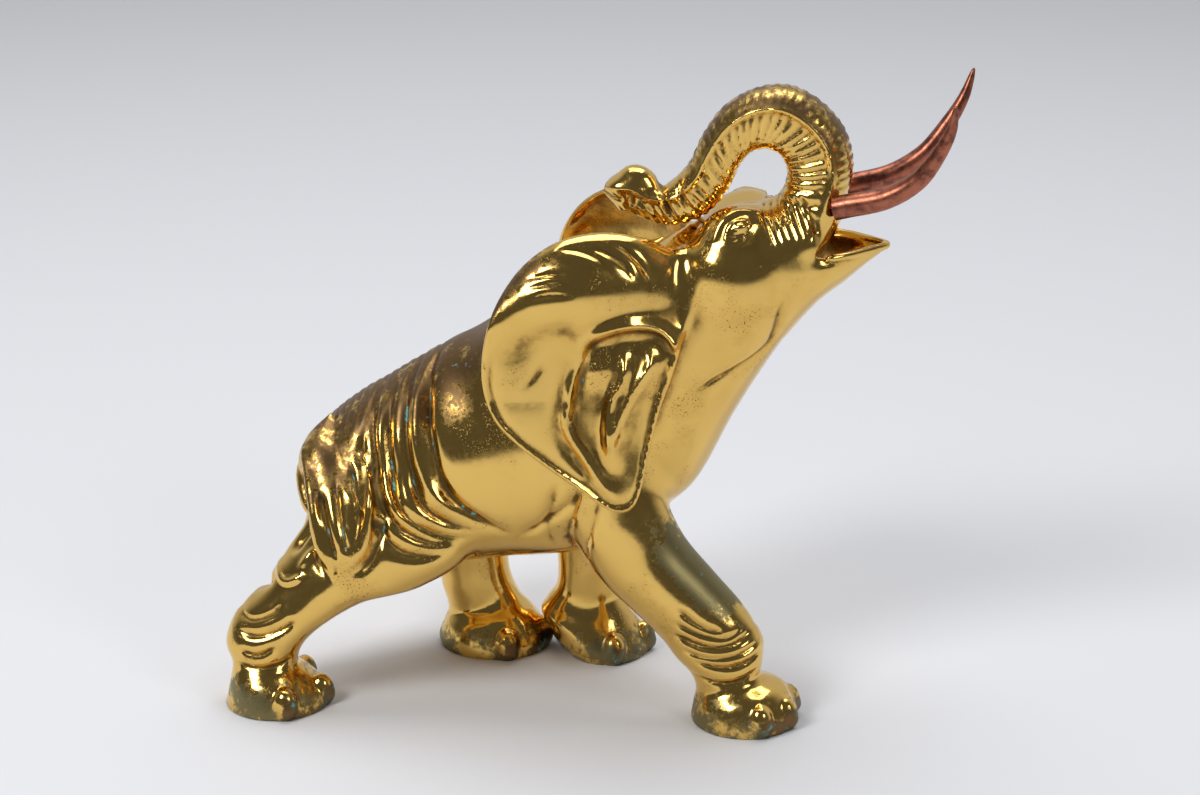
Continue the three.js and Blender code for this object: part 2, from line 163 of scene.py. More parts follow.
@dataclass
class Loft:
    """A limb or body carried over ribs.

    Each rib is [upper x, z, lower x, z, half width, centre y, lift of the widest line]. A ring at angle a
    has h = 1/2 + 1/2 (cos a + lift/2 sin^2 a) of the way from the lower rail to the upper one, and stands
    half * sin a out from the centre plane.
    """

    ribs: tuple
    steps: int = 14
    sides: int = 144

    def skin(self) -> Skin:
        """The loft's closed skin.

        Returns:
            Rings at even steps along the ribs, shut with a point at each end.
        """
        t = np.linspace(0, len(self.ribs) - 1, (len(self.ribs) - 1) * self.steps + 1)
        ux, uz, lx, lz, half, cy, lift = (column[:, None] for column in along(self.ribs, t).T)
        half = np.maximum(half, 0)
        turn = np.linspace(0, 2 * math.pi, self.sides, endpoint=False)[None, :]
        up, out = np.cos(turn), np.sin(turn)
        h = 0.5 + 0.5 * (up + 0.5 * lift * (1 - up * up))
        rings = np.stack([lx + (ux - lx) * h, cy + half * out, lz + (uz - lz) * h], -1)
        return Skin.over(closed(rings))


def closed(rings: np.ndarray) -> np.ndarray:
    """Rings with one more at each end, shrunk to the end ring's middle.

    Args:
        rings: Grid of points, rings by places round by 3.

    Returns:
        The grid with its two ends added.
    """
    first = np.broadcast_to(rings[:1].mean(1, keepdims=True), rings[:1].shape)
    last = np.broadcast_to(rings[-1:].mean(1, keepdims=True), rings[-1:].shape)
    return np.concatenate([first, rings, last])


# ------------------------------------------------------------------------------ the block of clay
class Clay:
    """A block of signed distances, negative inside, that forms are added to and cut from."""

    def __init__(self, low: tuple, high: tuple, step: float, reach: float) -> None:
        """Makes an empty block.

        Args:
            low: Lowest corner.
            high: Highest corner.
            step: Size of a cell.
            reach: Distance past which cells only say inside or outside.
        """
        self.low = np.asarray(low, float)
        self.step = step
        self.reach = reach
        count = np.ceil((np.asarray(high, float) - self.low) / step).astype(int) + 1
        self.cells = np.full(count, reach, np.float32)

    def window(self, low: np.ndarray, high: np.ndarray, margin: float) -> tuple[slice, ...]:
        """The cells from margin below low to margin above high.

        Args:
            low: Lowest corner.
            high: Highest corner.
            margin: Distance added all round.

        Returns:
            One slice for each of X, Y and Z.
        """
        first = np.floor((np.asarray(low) - margin - self.low) / self.step).astype(int)
        last = np.ceil((np.asarray(high) + margin - self.low) / self.step).astype(int) + 1
        ends = zip(np.maximum(first, 0), np.minimum(last, self.cells.shape))
        return tuple(slice(int(a), int(b)) for a, b in ends)

    def places(self, window: tuple[slice, ...]) -> list[np.ndarray]:
        """Places of a window's cells.

        Args:
            window: Slices of X, Y and Z.

        Returns:
            X, Y and Z, each shaped to spread over the other two.
        """
        axes = [np.arange(s.start, s.stop) * self.step + low for s, low in zip(window, self.low)]
        return np.meshgrid(*[a.astype(np.float32) for a in axes], indexing="ij", sparse=True)

    def measure(self, skin: Skin) -> tuple[tuple[slice, ...], np.ndarray]:
        """Signed distances to a closed skin.

        Args:
            skin: A closed surface.

        Returns:
            The window that the distances fill, and the distances.
        """
        window = self.window(skin.points.min(0), skin.points.max(0), self.reach)
        cells = ((skin.points - self.low) / self.step).astype(np.float32)
        grid = vdb.FloatGrid.createLevelSetFromPolygons(
            cells, quads=skin.quads.astype(np.uint32), halfWidth=self.reach / self.step)
        block = np.empty([s.stop - s.start for s in window], np.float32)
        grid.copyToArray(block, ijk=tuple(s.start for s in window))
        return window, block * self.step

    def join(self, window: tuple[slice, ...], block: np.ndarray, blend: Any) -> None:
        """Smooth union: the lesser distance, less (blend - difference)^2 / 4 blend where they nearly agree.

        Args:
            window: The cells that the other solid fills.
            block: The other solid's distances there.
            blend: How far the two flow into each other, a number or one for each cell.
        """
        here = self.cells[window]
        near = np.maximum(blend - np.abs(here - block), 0)
        self.cells[window] = np.minimum(here, block) - near * near / (4 * blend)

    def carve(self, window: tuple[slice, ...], block: np.ndarray, blend: Any) -> None:
        """Smooth cut: the greater of this distance and the other's opposite, rounded by blend.

        Args:
            window: The cells that the other solid fills.
            block: The other solid's distances there.
            blend: How far the cut's edge is rounded.
        """
        here = self.cells[window]
        near = np.maximum(blend - np.abs(here + block), 0)
        self.cells[window] = np.maximum(here, -block) + near * near / (4 * blend)

    def add(self, skin: Skin, blend: float) -> None:
        """Joins a closed skin's solid."""
        self.join(*self.measure(skin), blend)

    def cut(self, skin: Skin, blend: float) -> None:
        """Cuts a closed skin's solid away."""
        self.carve(*self.measure(skin), blend)

    def chain(self, path: np.ndarray, radii: np.ndarray,
              margin: float) -> tuple[tuple[slice, ...], np.ndarray]:
        """Distances to a roll: for each span, the distance to its line less the radius there.

        Args:
            path: Points of the roll's middle line.
            radii: The roll's radius at each point.
            margin: How far past the roll the distances are worked out.

        Returns:
            The window they fill, and the distances.
        """
        wide = float(radii.max()) + margin
        window = self.window(path.min(0), path.max(0), wide)
        block = np.full([s.stop - s.start for s in window], self.reach, np.float32)
        for a, b, ra, rb in zip(path[:-1], path[1:], radii[:-1], radii[1:]):
            small = self.window(np.minimum(a, b), np.maximum(a, b), wide)
            x, y, z = self.places(small)
            run = (b - a).astype(np.float32)
            s = ((x - a[0]) * run[0] + (y - a[1]) * run[1] + (z - a[2]) * run[2]) / max(run @ run, 1e-9)
            s = np.clip(s, 0, 1)
            gap = np.sqrt((x - a[0] - s * run[0]) ** 2 + (y - a[1] - s * run[1]) ** 2
                          + (z - a[2] - s * run[2]) ** 2) - (ra + (rb - ra) * s)
            inner = tuple(slice(s.start - w.start, s.stop - w.start) for s, w in zip(small, window))
            block[inner] = np.minimum(block[inner], gap)
        return window, block

    def bulge(self, middle: tuple, radii: tuple, tilt: float, blend: float, hollow: bool = False) -> None:
        """Joins, or cuts, an ellipsoid turned by tilt degrees about Y.

        With p the place in the ellipsoid's own axes, k = |p / radii| and g = |p / radii^2|, the distance
        is close to k (k - 1) / g.

        Args:
            middle: Centre.
            radii: Half sizes along its own axes.
            tilt: Turn about Y, in degrees.
            blend: How far it flows into the clay.
            hollow: Whether it is cut away.
        """
        middle, radii = np.asarray(middle, float), np.asarray(radii, float)
        window = self.window(middle - radii.max(), middle + radii.max(), min(blend + 2, self.reach))
        x, y, z = self.places(window)
        c, s = math.cos(math.radians(tilt)), math.sin(math.radians(tilt))
        px = (x - middle[0]) * c + (z - middle[2]) * s
        pz = (z - middle[2]) * c - (x - middle[0]) * s
        py = y - middle[1]
        k = np.sqrt((px / radii[0]) ** 2 + (py / radii[1]) ** 2 + (pz / radii[2]) ** 2) + 1e-6
        g = np.sqrt((px / radii[0] ** 2) ** 2 + (py / radii[1] ** 2) ** 2 + (pz / radii[2] ** 2) ** 2) + 1e-6
        block = (k * (k - 1) / g).astype(np.float32)
        (self.carve if hollow else self.join)(window, block, blend)

    def skin_y(self, x: float, z: float, side: Side) -> float:
        """Y where the line through (x, z) along Y leaves the clay on one side.

        Args:
            x: Place along the animal.
            z: Height.
            side: The side looked for.

        Returns:
            Y, worked out between cells, or nought where the line misses the clay.
        """
        i, k = (round((v - low) / self.step) for v, low in ((x, self.low[0]), (z, self.low[2])))
        column = self.cells[i, :, k]
        inside = np.nonzero(column < 0)[0]
        if len(inside) == 0:
            return 0.0
        j = inside[-1] if side is Side.LEFT else inside[0]
        share = column[j] / (column[j] - column[j + side.value])
        return float(self.low[1] + (j + side.value * share) * self.step)

    def lay(self, path: Any, side: Side, lift: float = 0.0, count: int = 40) -> np.ndarray:
        """A side-view line laid on the clay's outermost skin, its Y evened out by a running mean.

        Args:
            path: Rows of x and z.
            side: The side that it lies on.
            lift: How far it stands proud.
            count: Points along it.

        Returns:
            The line's points.
        """
        flat = curve(path, count)
        y = np.array([self.skin_y(x, z, side) for x, z in flat])
        y = np.convolve(np.pad(y, 3, mode="edge"), np.full(7, 1 / 7), mode="valid")
        return np.stack([flat[:, 0], y + side.value * lift, flat[:, 1]], -1)

    def surface(self) -> tuple[np.ndarray, np.ndarray]:
        """The clay's skin, turned so that the volume its quads enclose is positive.

        Returns:
            Points, and quads whose faces point out.
        """
        limit = 3 * self.step
        grid = vdb.FloatGrid(limit)
        grid.copyFromArray(np.clip(self.cells, -limit, limit))
        points, _, quads = grid.convertToPolygons()
        points = points.astype(float) * self.step + self.low
        a, b, c, d = (points[quads[:, k]] for k in range(4))
        volume = np.einsum("ij,ij->", (a + b + c + d) / 4, np.cross(c - a, d - b))
        return points, (quads if volume > 0 else quads[:, ::-1])


# ------------------------------------------------------------------------------ the skin's relief
@dataclass(frozen=True)
class Crease:
    """A valley pressed into the skin, or a ridge raised where depth is negative.

    At distance d from the line the skin moves by depth * e to the minus (d / width)^sharp.
    """

    path: tuple
    depth: float
    width: float
    sides: tuple = (Side.RIGHT,)
    sharp: float = 1.25
    fade: float = 0.25


@dataclass
class Hide:
    """The figure's fine skin."""

    points: np.ndarray
    quads: np.ndarray

    def normals(self) -> np.ndarray:
        """Unit normals: the sum of the cross products of the diagonals of the quads around each point.

        Returns:
            One normal a point.
        """
        a, b, c, d = (self.points[self.quads[:, k]] for k in range(4))
        face = np.cross(c - a, d - b)
        corners = self.quads.ravel()
        columns = [np.bincount(corners, np.repeat(column, 4), len(self.points)) for column in face.T]
        total = np.stack(columns, -1)
        return total / np.maximum(np.linalg.norm(total, axis=1, keepdims=True), 1e-12)

    def neighbours(self) -> tuple[np.ndarray, np.ndarray]:
        """Both ends of every quad's edges."""
        ends = np.concatenate([self.quads[:, [k, (k + 1) % 4]] for k in range(4)])
        return ends[:, 0], ends[:, 1]

    def smooth(self, rounds: int, inward: float = 0.5, outward: float = -0.52) -> None:
        """Smooths without shrinking: a round moves points towards, then away from, their neighbours' mean.

        Args:
            rounds: How many times.
            inward: Share of the way towards the mean.
            outward: Share of the way back, negative.
        """
        start, end = self.neighbours()
        count = np.maximum(np.bincount(start, minlength=len(self.points)), 1)[:, None]
        for amount in [inward, outward] * rounds:
            columns = self.points[end].T
            total = np.stack([np.bincount(start, column, len(self.points)) for column in columns], -1)
            self.points += amount * (total / count - self.points)

    def press(self, lines: list[tuple[np.ndarray, Crease]]) -> None:
        """Moves the skin along its normals by every crease at once.

        Args:
            lines: For each crease, its points on the skin and what it is like.
        """
        move = np.zeros(len(self.points))
        for path, crease in lines:
            margin = 2.6 * crease.width
            near = np.all((self.points > path.min(0) - margin) & (self.points < path.max(0) + margin), axis=1)
            chosen = np.nonzero(near)[0]
            gap, where = nearest(self.points[chosen], path)
            shape = np.exp(-((gap / crease.width) ** crease.sharp))
            move[chosen] -= crease.depth * shape * taper(where, crease.fade)
        self.points += move[:, None] * self.normals()


# ------------------------------------------------------------------------------ the carving's stations
TORSO = (
    (-155, 108, -155, 108, 0, 0, 0), (-149, 124, -148, 86, 24, 0, 0), (-137, 138, -136, 70, 36, 0, 0),
    (-122, 150, -117, 62, 42, 0, -0.1), (-108, 159, -98, 60, 45, 0, -0.15),
    (-95, 167.5, -80, 62, 46.5, 0, -0.15), (-82, 175.5, -62, 65, 47.5, 0, -0.2),
    (-69, 182.5, -45, 68, 48.5, 0, -0.2), (-48, 192, -25, 70, 49, 0, -0.2),
    (-25, 201, -8, 73, 49, 0, -0.2), (0, 213, 15, 81, 46, 0, -0.2), (18, 226, 36, 99, 42, 0, -0.1),
    (35, 238, 51, 115, 39, 0, 0), (52, 247, 68, 149, 36, 0, 0.15), (66, 252, 83, 175, 36, 0, 0.2),
    (80, 257, 95, 194, 33, 0, 0.15), (92, 261, 105, 211, 29, 0, 0), (104, 257, 112, 230, 24, 0, 0),
    (111, 246, 111, 246, 0, 0, 0),
)
RIGHT_FORELEG = (
    (4, 148, 4, 148, 0, -22, 0), (26, 138, -19, 118, 20, -27, 0), (36, 113, -11, 95, 22, -31, 0),
    (46.5, 92, 4, 71, 21, -33, 0), (62, 75, 21.5, 55, 19, -36, 0), (77, 59, 35, 43, 18, -38, 0),
    (87, 44, 43.5, 33, 18, -40, 0), (87, 32, 51, 25, 16.5, -40, 0), (87, 24, 54, 17, 15.5, -40, 0),
    (98, 19, 53, 9, 22, -40, 0), (104, 9, 52, 3, 25, -40, 0), (105, 0, 52, 0, 26, -40, 0),
)
RIGHT_HIND_LEG = (
    (-108, 126, -108, 126, 0, -25, 0), (-138, 114, -62, 110, 25, -27, 0), (-141, 97, -60, 80, 27, -31, 0),
    (-153, 78, -82, 63, 24, -37, 0), (-165, 61, -109, 56, 20, -43, 0), (-178, 47, -128, 46, 18, -48, 0),
    (-183, 33, -142, 34, 17, -51, 0), (-180, 22, -147, 22, 16, -52, 0), (-181, 13, -141, 16, 22, -52, 0),
    (-183, 4, -133, 8, 25, -52, 0), (-184, 0, -131, 0, 26, -52, 0),
)
LEFT_HIND_LEG = (
    (-112, 130, -112, 130, 0, 22, 0), (-134, 110, -74, 112, 24, 27, 0), (-112, 72, -60, 78, 21, 33, 0),
    (-93, 47, -55, 55, 18, 36, 0), (-89, 32, -53, 40, 17, 36, 0), (-86, 20, -48, 28, 16.5, 36, 0),
    (-88, 13, -41, 20, 22, 36, 0), (-91, 5, -33, 8, 25, 36, 0), (-90, 0, -32, 0, 26, 36, 0),
)
LEFT_FORELEG = (
    (12, 142, 12, 142, 0, 20, 0), (-16, 118, 36, 122, 20, 28, 0), (-28, 86, 27, 90, 20, 33, 0),
    (-28, 61, 14, 64, 18, 36, 0), (-27, 47, 8, 48, 17, 36, 0), (-28, 36, 6, 33, 16.5, 36, 0),
    (-33, 28, 11, 23, 18, 36, 0), (-36, 21, 17, 13, 22, 36, 0), (-30, 9, 21, 4, 25, 36, 0),
    (-22, 0, 21, 0, 24, 36, 0),
)
TAIL_FLAP = (
    (-135, 142, -135, 142, 0, -12, 0), (-146, 131, -126, 130, 12, -20, 0), (-150, 117, -120, 122, 14, -27, 0),
    (-146, 104, -110, 112, 14, -37, 0), (-137, 92, -107, 97, 11, -48, 0), (-131, 80, -110, 84, 7, -54, 0),
    (-123, 67, -121, 68, 3, -54, 0),
)
JAW = (
    (74, 228, 75, 187, 22, 0, 0), (90, 240, 90, 191, 29, 0, 0.4), (102, 240, 100, 200, 28, 0, 0.6),
    (113, 238, 110, 210, 25, 0, 0.75), (123, 238, 121, 219, 19, 0, 0.75), (132, 238, 131, 228, 11, 0, 0.6),
    (141, 236, 141, 236, 0, 0, 0),
)
MOUTH_BOWL = (
    (100, 238, 100, 232, 8, 0, 0), (108, 246, 108, 223, 20, 0, 0), (118, 248, 118, 223, 18, 0, 0),
    (128, 248, 127, 229, 11, 0, 0), (135, 246, 134, 234, 4, 0, 0),
)
MOUTH_GAP = (
    (102, 234, 102, 234, 0, 0, 0), (110, 242, 111, 235, 34, 0, 0), (120, 254, 120, 235, 42, 0, 0),
    (150, 262, 150, 236, 46, 0, 0),
)
TRUNK = (
    (106, 226, 84, 232, 22, 0, 0.3), (116, 244, 84, 246, 22.5, 0, 0.35), (121, 262, 88, 260, 20.5, 0, 0.4),
    (123, 278, 91, 272, 18, 0, 0.4), (118, 294, 88, 280, 16.5, 0, 0.4), (106, 307, 83, 283, 15.5, 0, 0.4),
    (91, 314, 79, 283, 15, 0, 0.4), (75, 312, 74, 281, 14.5, 0, 0.4), (60, 303, 69, 275, 14, 0, 0.4),
    (50, 289, 65, 266, 13, 0, 0.35), (43, 274, 59, 256, 12, 0, 0.3), (33, 264, 48, 247, 11, 0, 0.2),
    (23, 264, 34, 243, 10.5, 0, 0), (14, 269, 22, 246, 10.5, 0, 0), (6, 266, 11, 251, 9.5, 0, 0),
    (0, 259, 0, 259, 0, 0, 0),
)


@dataclass
class Trunk:
    """The trunk: a ringed back, a bead along each flank, and pleated cheeks inside its curl."""

    ribs: tuple = TRUNK
    bead_at: float = 0.42          # height of the bead between the inner rail, -1, and the outer one, 1
    bead: float = 0.13             # how far the bead stands out, as a share of the half width
    pleat: float = 0.15            # depth of the pleats, as a share of the half width
    ring: float = 0.030            # depth of the rings over the back
    fullness: float = 0.93         # half width of the section under the bead
    square: float = 0.62           # how squared the section is below the bead, 1 for an ellipse
    over_share: float = 0.42       # share of the way round that lies over the bead
    steps: int = 44
    sides: int = 240

    def skin(self) -> Skin:
        """The trunk's closed skin, a grid over the distance along it and the turn round it.

        Round the section, the back is a half ellipse above the bead, and the cheeks and the inner edge
        are a squared ellipse below it. Valleys between pleats are 1 - |sin|^0.6 of a phase that runs
        unevenly along the trunk.

        Returns:
            The closed skin.
        """
        t = np.linspace(0, len(self.ribs) - 1, (len(self.ribs) - 1) * self.steps + 1)
        ux, uz, lx, lz, half, cy, _ = (column[:, None] for column in along(self.ribs, t).T)
        half = np.maximum(half, 0)
        u = t[:, None]
        q = np.linspace(-1, 1, self.sides, endpoint=False)[None, :]
        share = np.abs(q)
        split = self.over_share
        over = share < split
        phase = np.where(over, share / split, (share - split) / (1 - split)) * math.pi / 2
        top = self.bead_at + (1 - self.bead_at) * np.cos(phase)
        under = self.bead_at - (1 + self.bead_at) * np.sin(phase) ** self.square
        height = np.where(over, top, under)
        out = self.fullness * np.where(over, np.sin(phase), np.maximum(np.cos(phase), 0) ** self.square)
        body = rise(u, 1.0, 2.6) * rise(-u, -14.2, -12.2)
        out = out + self.bead * hill(height, self.bead_at, 0.1) * body * (share > 0.2)

        wander = 0.22 * np.sin(1.7 * u) + 0.13 * np.sin(4.1 * u + 1)
        lean = 0.10 * np.sin(2.9 * u) * height
        valley = 1 - np.abs(np.sin(math.pi * (2.6 * u + wander + lean))) ** 0.6
        cheek = rise(-height, -self.bead_at + 0.08, -self.bead_at + 0.3)
        uneven = 0.55 + 0.45 * np.sin(2.3 * u + 2.2 * height + 0.5) ** 2
        depth = self.pleat * body * cheek * uneven * valley * (1 + 0.5 * rise(-height, 0.2, 0.9))
        rings = self.ring * body * (1 - cheek) * rise(height, self.bead_at + 0.1, self.bead_at + 0.3)
        rings = rings * (1 - np.abs(np.sin(math.pi * (3.4 * u + wander))) ** 0.8)
        out = out * (1 - depth - rings)
        height = height * (1 - 0.6 * depth * (height < 0) - 1.6 * rings)

        h = 0.5 + 0.5 * height
        grid = np.stack([lx + (ux - lx) * h, cy + half * np.sign(q) * out, lz + (uz - lz) * h], -1)
        return Skin.over(closed(grid))


@dataclass
class Ear:
    """An ear: a broad flap with a rolled top lobe, a hood, and a leaf of folds hanging to the tip.

    The face is a height above a slanting sheet, worked out from distances to its own lines in side view.
    """

    side: Side
    squeeze: float
    flare: float
    thickness: float = 5.0
    stand: float = 41.0
    hub: tuple = (8, 180)
    outline: tuple = (
        (41, 236), (27, 245), (8, 249), (-12, 246), (-29, 235), (-41, 218), (-47, 198), (-48, 178),
        (-43, 162), (-32, 149), (-17, 136), (-2, 124.5), (10, 115.5), (17, 112.5), (23, 114), (27, 122),
        (31, 143), (36, 164), (43, 186), (47, 205), (47, 222),
    )
    hood: tuple = ((-3, 190), (3, 199), (12, 204), (24, 206), (35, 203), (42, 195), (43.5, 185))
    leaf_edge: tuple = (
        (-1, 190), (-5, 180), (-7, 170), (-8, 160), (-5, 151), (0, 143), (6, 133), (12, 124), (18, 116))
    leaf_ridges: tuple = (
        ((15, 197), (19, 187), (18, 178), (14, 171), (12, 163), (12, 153), (13, 143), (16, 130)),
        ((28, 197), (31, 187), (27, 179), (23, 172), (18, 162), (15, 152), (15, 143)),
    )
    lobe_valley: tuple = ((-42, 187), (-30, 197), (-19, 203), (-9, 205), (1, 203))
    lobe: float = 8.0              # swell of the top lobe
    roll: float = 12.0             # how far the lobe's top edge falls back
    dome: float = 3.0              # crown of the flap
    dip: float = 1.3               # valley between lobe and flap
    lip: float = 4.6               # the hood's rolled lip
    hollow: float = 6.5            # depth under the hood
    trough: float = 1.6            # depth of the leaf's floor
    folds: tuple = (5.6, 5.0)      # the leaf's two ridges
    pad: float = 3.2               # cushion between the leaf's edge and its first ridge
    border: float = 2.6            # ridge along the leaf's edge
    crescent: float = 1.8          # valley outside that ridge
    around: int = 420
    rounds: int = 110

    def place(self, x: np.ndarray, z: np.ndarray, depth: np.ndarray) -> np.ndarray:
        """Points by the slanting sheet, which stands off the head more towards the rear and below.

        Args:
            x: Places along the animal, before the ear is squeezed.
            z: Heights.
            depth: How far proud of the sheet.

        Returns:
            The points.
        """
        merge = rise(x, 20, 46) * rise(z, 190, 215)
        off = self.stand + self.flare * (47 - x) + 0.12 * np.maximum(0, 170 - z) - 7 * merge
        return np.stack([47 - (47 - x) * self.squeeze, self.side.value * (off + depth), z], -1)

    def base(self, x: np.ndarray, z: np.ndarray, edge: np.ndarray) -> np.ndarray:
        """Broad form: a shallow Gaussian dome, and a lobe that swells and falls back by e^(-edge / 9).

        Args:
            x: Places along the animal.
            z: Heights.
            edge: Distances to the rim.

        Returns:
            Heights above the sheet.
        """
        lobe = self.lobe * hill(x, -6, 34) * hill(z, 222, 20)
        roll = self.roll * rise(z, 205, 232) * np.exp(-edge / 9)
        dome = self.dome * hill(x, -26, 22) * hill(z, 165, 26)
        gap, where = nearest(np.stack([x.ravel(), z.ravel()], -1), curve(self.lobe_valley))
        valley = self.dip * (np.exp(-((gap / 6) ** 2)) * taper(where, 0.3)).reshape(x.shape)
        return lobe - roll + dome - valley

    def relief(self, x: np.ndarray, z: np.ndarray, edge: np.ndarray) -> np.ndarray:
        """Sharper forms of the face: each is a bell over the distance to its own line.

        The rim's bead, the hood's lip, the leaf's border and its folds rise. The space under the hood, the
        leaf's floor and the valley outside its border fall.

        Args:
            x: Places along the animal.
            z: Heights.
            edge: Distances to the rim.

        Returns:
            Heights above the broad form.
        """
        flat = np.stack([x.ravel(), z.ravel()], -1)
        low = rise(-z, -196, -180)
        rim = low * (0.9 * hill(edge, 1.4, 1.3) - 0.8 * hill(edge, 4.6, 1.5))

        hood_gap, hood_at = (v.reshape(x.shape) for v in nearest(flat, curve(self.hood)))
        edge_gap, edge_at = (v.reshape(x.shape) for v in nearest(flat, curve(self.leaf_edge)))
        hood_line, leaf_line = curve(self.hood, 60), curve(self.leaf_edge, 60)
        left = np.interp(z, leaf_line[::-1, 1], leaf_line[::-1, 0])
        roof = np.interp(x, hood_line[:50, 0], hood_line[:50, 1])
        inside = rise(x - left, -1.5, 6.0) * rise(roof - z, -1.5, 5.0)

        lip = self.lip * np.exp(-((hood_gap / 4.8) ** 2)) * rise(hood_at, 0.02, 0.35)
        hollow = self.hollow * np.exp(-((np.maximum(roof - z, 0) / 15) ** 1.4)) * inside
        trough = self.trough * inside * rise(z, 118, 150)
        ridges = np.zeros_like(x)
        for path, height in zip(self.leaf_ridges, self.folds):
            gap, where = (v.reshape(x.shape) for v in nearest(flat, curve(path)))
            ridges += height * np.exp(-((gap / 3.6) ** 1.6)) * taper(where, 0.22)
        pad = self.pad * hill(x, 7, 7) * hill(z, 184, 9)
        border = self.border * np.exp(-((edge_gap / 3.0) ** 1.6)) * taper(edge_at, 0.2)
        crescent = self.crescent * hill(edge_gap, 4.5, 3.0) * (x < left) * taper(edge_at, 0.35)
        return rim + lip - hollow - trough + inside * (ridges + pad) + border - crescent

    def skin(self) -> Skin:
        """The ear's closed skin: a front and a back that meet in a round rim.

        The grid runs round the outline and out from the hub. Near the rim the half thickness is that of a
        quarter circle, and the back follows the front's hollows, so the wall stays whole.

        Returns:
            The closed skin.
        """
        turn = np.linspace(0, len(self.outline), self.around, endpoint=False)
        rim = along([*self.outline, self.outline[0]], turn)
        f = (np.linspace(0, 1, self.rounds) ** 0.85)[:, None]
        x = self.hub[0] + (rim[None, :, 0] - self.hub[0]) * f
        z = self.hub[1] + (rim[None, :, 1] - self.hub[1]) * f
        edge = np.hypot(rim[None, :, 0] - x, rim[None, :, 1] - z)
        bevel = np.clip(edge / (self.thickness / 2), 0, 1)
        half = self.thickness / 2 * np.sqrt(1 - (1 - bevel) ** 2)
        base = self.base(x, z, edge)
        relief = self.relief(x, z, edge) * bevel
        face = self.place(x, z, base + half + relief)
        back = self.place(x, z, base - half + np.minimum(relief, 0))
        return Skin.over(np.concatenate([face, back[-2::-1]]))


# ------------------------------------------------------------------------------ the cast figure
JAW_RIM = ((112, 24.6), (115, 23.8), (123, 18.5), (132, 9.5), (138, 3.5), (140, 0))    # x, half width
EYELIDS = (
    # line, radius, lift, blend: the brow, the upper lid and two lower lids
    (((59, 244), (61.5, 250.5), (65.5, 254.5), (70.5, 256.5), (79, 256)), 1.6, 0.3, 2.2),
    (((64.5, 245.5), (66, 250.5), (70, 253), (74, 253), (76, 250.5)), 0.9, 0.5, 0.7),
    (((64.5, 245.2), (68, 244.6), (72.5, 247), (75.5, 251.5)), 0.8, 0.5, 0.6),
    (((63.5, 242.6), (68.5, 242), (73.5, 244.8), (77, 248.8)), 0.8, 0.3, 0.8),
)
EAR_ROOT = (
    (28, 228, 28, 228, 0, 32, 0), (12, 220, 32, 220, 8, 34, 0), (8, 202, 30, 202, 9, 35, 0),
    (14, 186, 30, 186, 7, 35, 0), (22, 174, 22, 174, 0, 34, 0),
)
FLANK_FOLDS = (
    Crease(((-113, 150), (-115, 134), (-111, 119), (-102, 98), (-93, 88), (-79, 83), (-65, 85)),
           3.8, 3.4, BOTH),
    Crease(((-109, 163), (-111, 145), (-107, 127), (-101, 109), (-92, 98), (-77, 90), (-61, 87)),
           4.4, 3.2, BOTH),
    Crease(((-99, 170), (-102, 148), (-99, 126), (-93, 111), (-84, 100), (-70, 92), (-54, 89)),
           4.2, 3.2, BOTH),
    Crease(((-89, 179), (-93, 158), (-91, 137), (-86, 119), (-78, 107), (-66, 98), (-51, 92)),
           3.8, 3.0, BOTH),
    Crease(((-77, 188), (-81, 171), (-81, 155), (-77, 137), (-74, 125), (-68, 114), (-57, 103), (-46, 96),
            (-34, 92)), 3.6, 3.0, BOTH),
    Crease(((-83, 180), (-87, 160), (-86, 139), (-81, 122), (-72, 110), (-60, 99)), -2.0, 3.6, BOTH, 2.0),
    Crease(((-104, 160), (-106, 140), (-101, 120), (-92, 105), (-80, 96)), -1.5, 3.2, BOTH, 2.0),
    Crease(((-36, 91), (-23, 98), (-11, 110), (2, 124)), 2.6, 3.0, BOTH),
    Crease(((-14, 126), (-18, 108), (-20, 94), (-17, 80)), 2.0, 3.2, BOTH),
    Crease(((-4, 128), (-7, 110), (-11, 94), (-10, 80)), 2.0, 3.2, BOTH),
    Crease(((7, 122), (4, 106), (-1, 90), (-1, 78)), 1.8, 3.0, BOTH),
)
LEG_FOLDS = (
    Crease(((41, 51), (49, 47), (58, 45), (68, 45), (78, 48), (85, 53)), 2.6, 1.9),
    Crease(((43, 57), (50, 53), (60, 50), (71, 49), (80, 54)), 1.8, 1.5),
    Crease(((45, 64), (52, 58), (61, 53), (70, 52)), 2.0, 1.7),
    Crease(((46, 43), (56, 39), (68, 39), (80, 42), (87, 46)), 1.8, 1.6),
    Crease(((51, 37), (62, 34), (74, 34), (84, 37), (88, 40)), 2.2, 1.8),
    Crease(((52, 28), (62, 25), (72, 25), (80, 27), (87, 32)), 2.0, 1.5),
    Crease(((-177, 42), (-163, 41), (-150, 45), (-142, 51)), 2.6, 2.2),
    Crease(((-179, 50), (-168, 48), (-157, 52), (-150, 58)), 2.0, 1.9),
    Crease(((-174, 33), (-163, 31), (-152, 36)), 2.2, 1.7),
    Crease(((-178, 26), (-166, 24), (-152, 25), (-147, 27)), 1.8, 1.5),
    Crease(((-133, 103), (-141, 92), (-151, 77)), 3.6, 3.8, sharp=2.0),
    Crease(((-157, 68), (-166, 60), (-176, 50)), 3.6, 3.8, sharp=2.0),
    Crease(((-127, 97), (-135, 85), (-145, 71)), -1.8, 2.4, sharp=2.0),
    Crease(((-158, 73), (-152, 67), (-146, 68), (-139, 73)), -1.8, 2.0, sharp=2.0),
)
FLAP_RIMS = (
    (((-146, 128), (-137, 108), (-132, 88), (-124, 72)), 3.0),
    (((-123, 73), (-112, 85), (-107, 100), (-108, 116), (-115, 130)), 3.4),
)
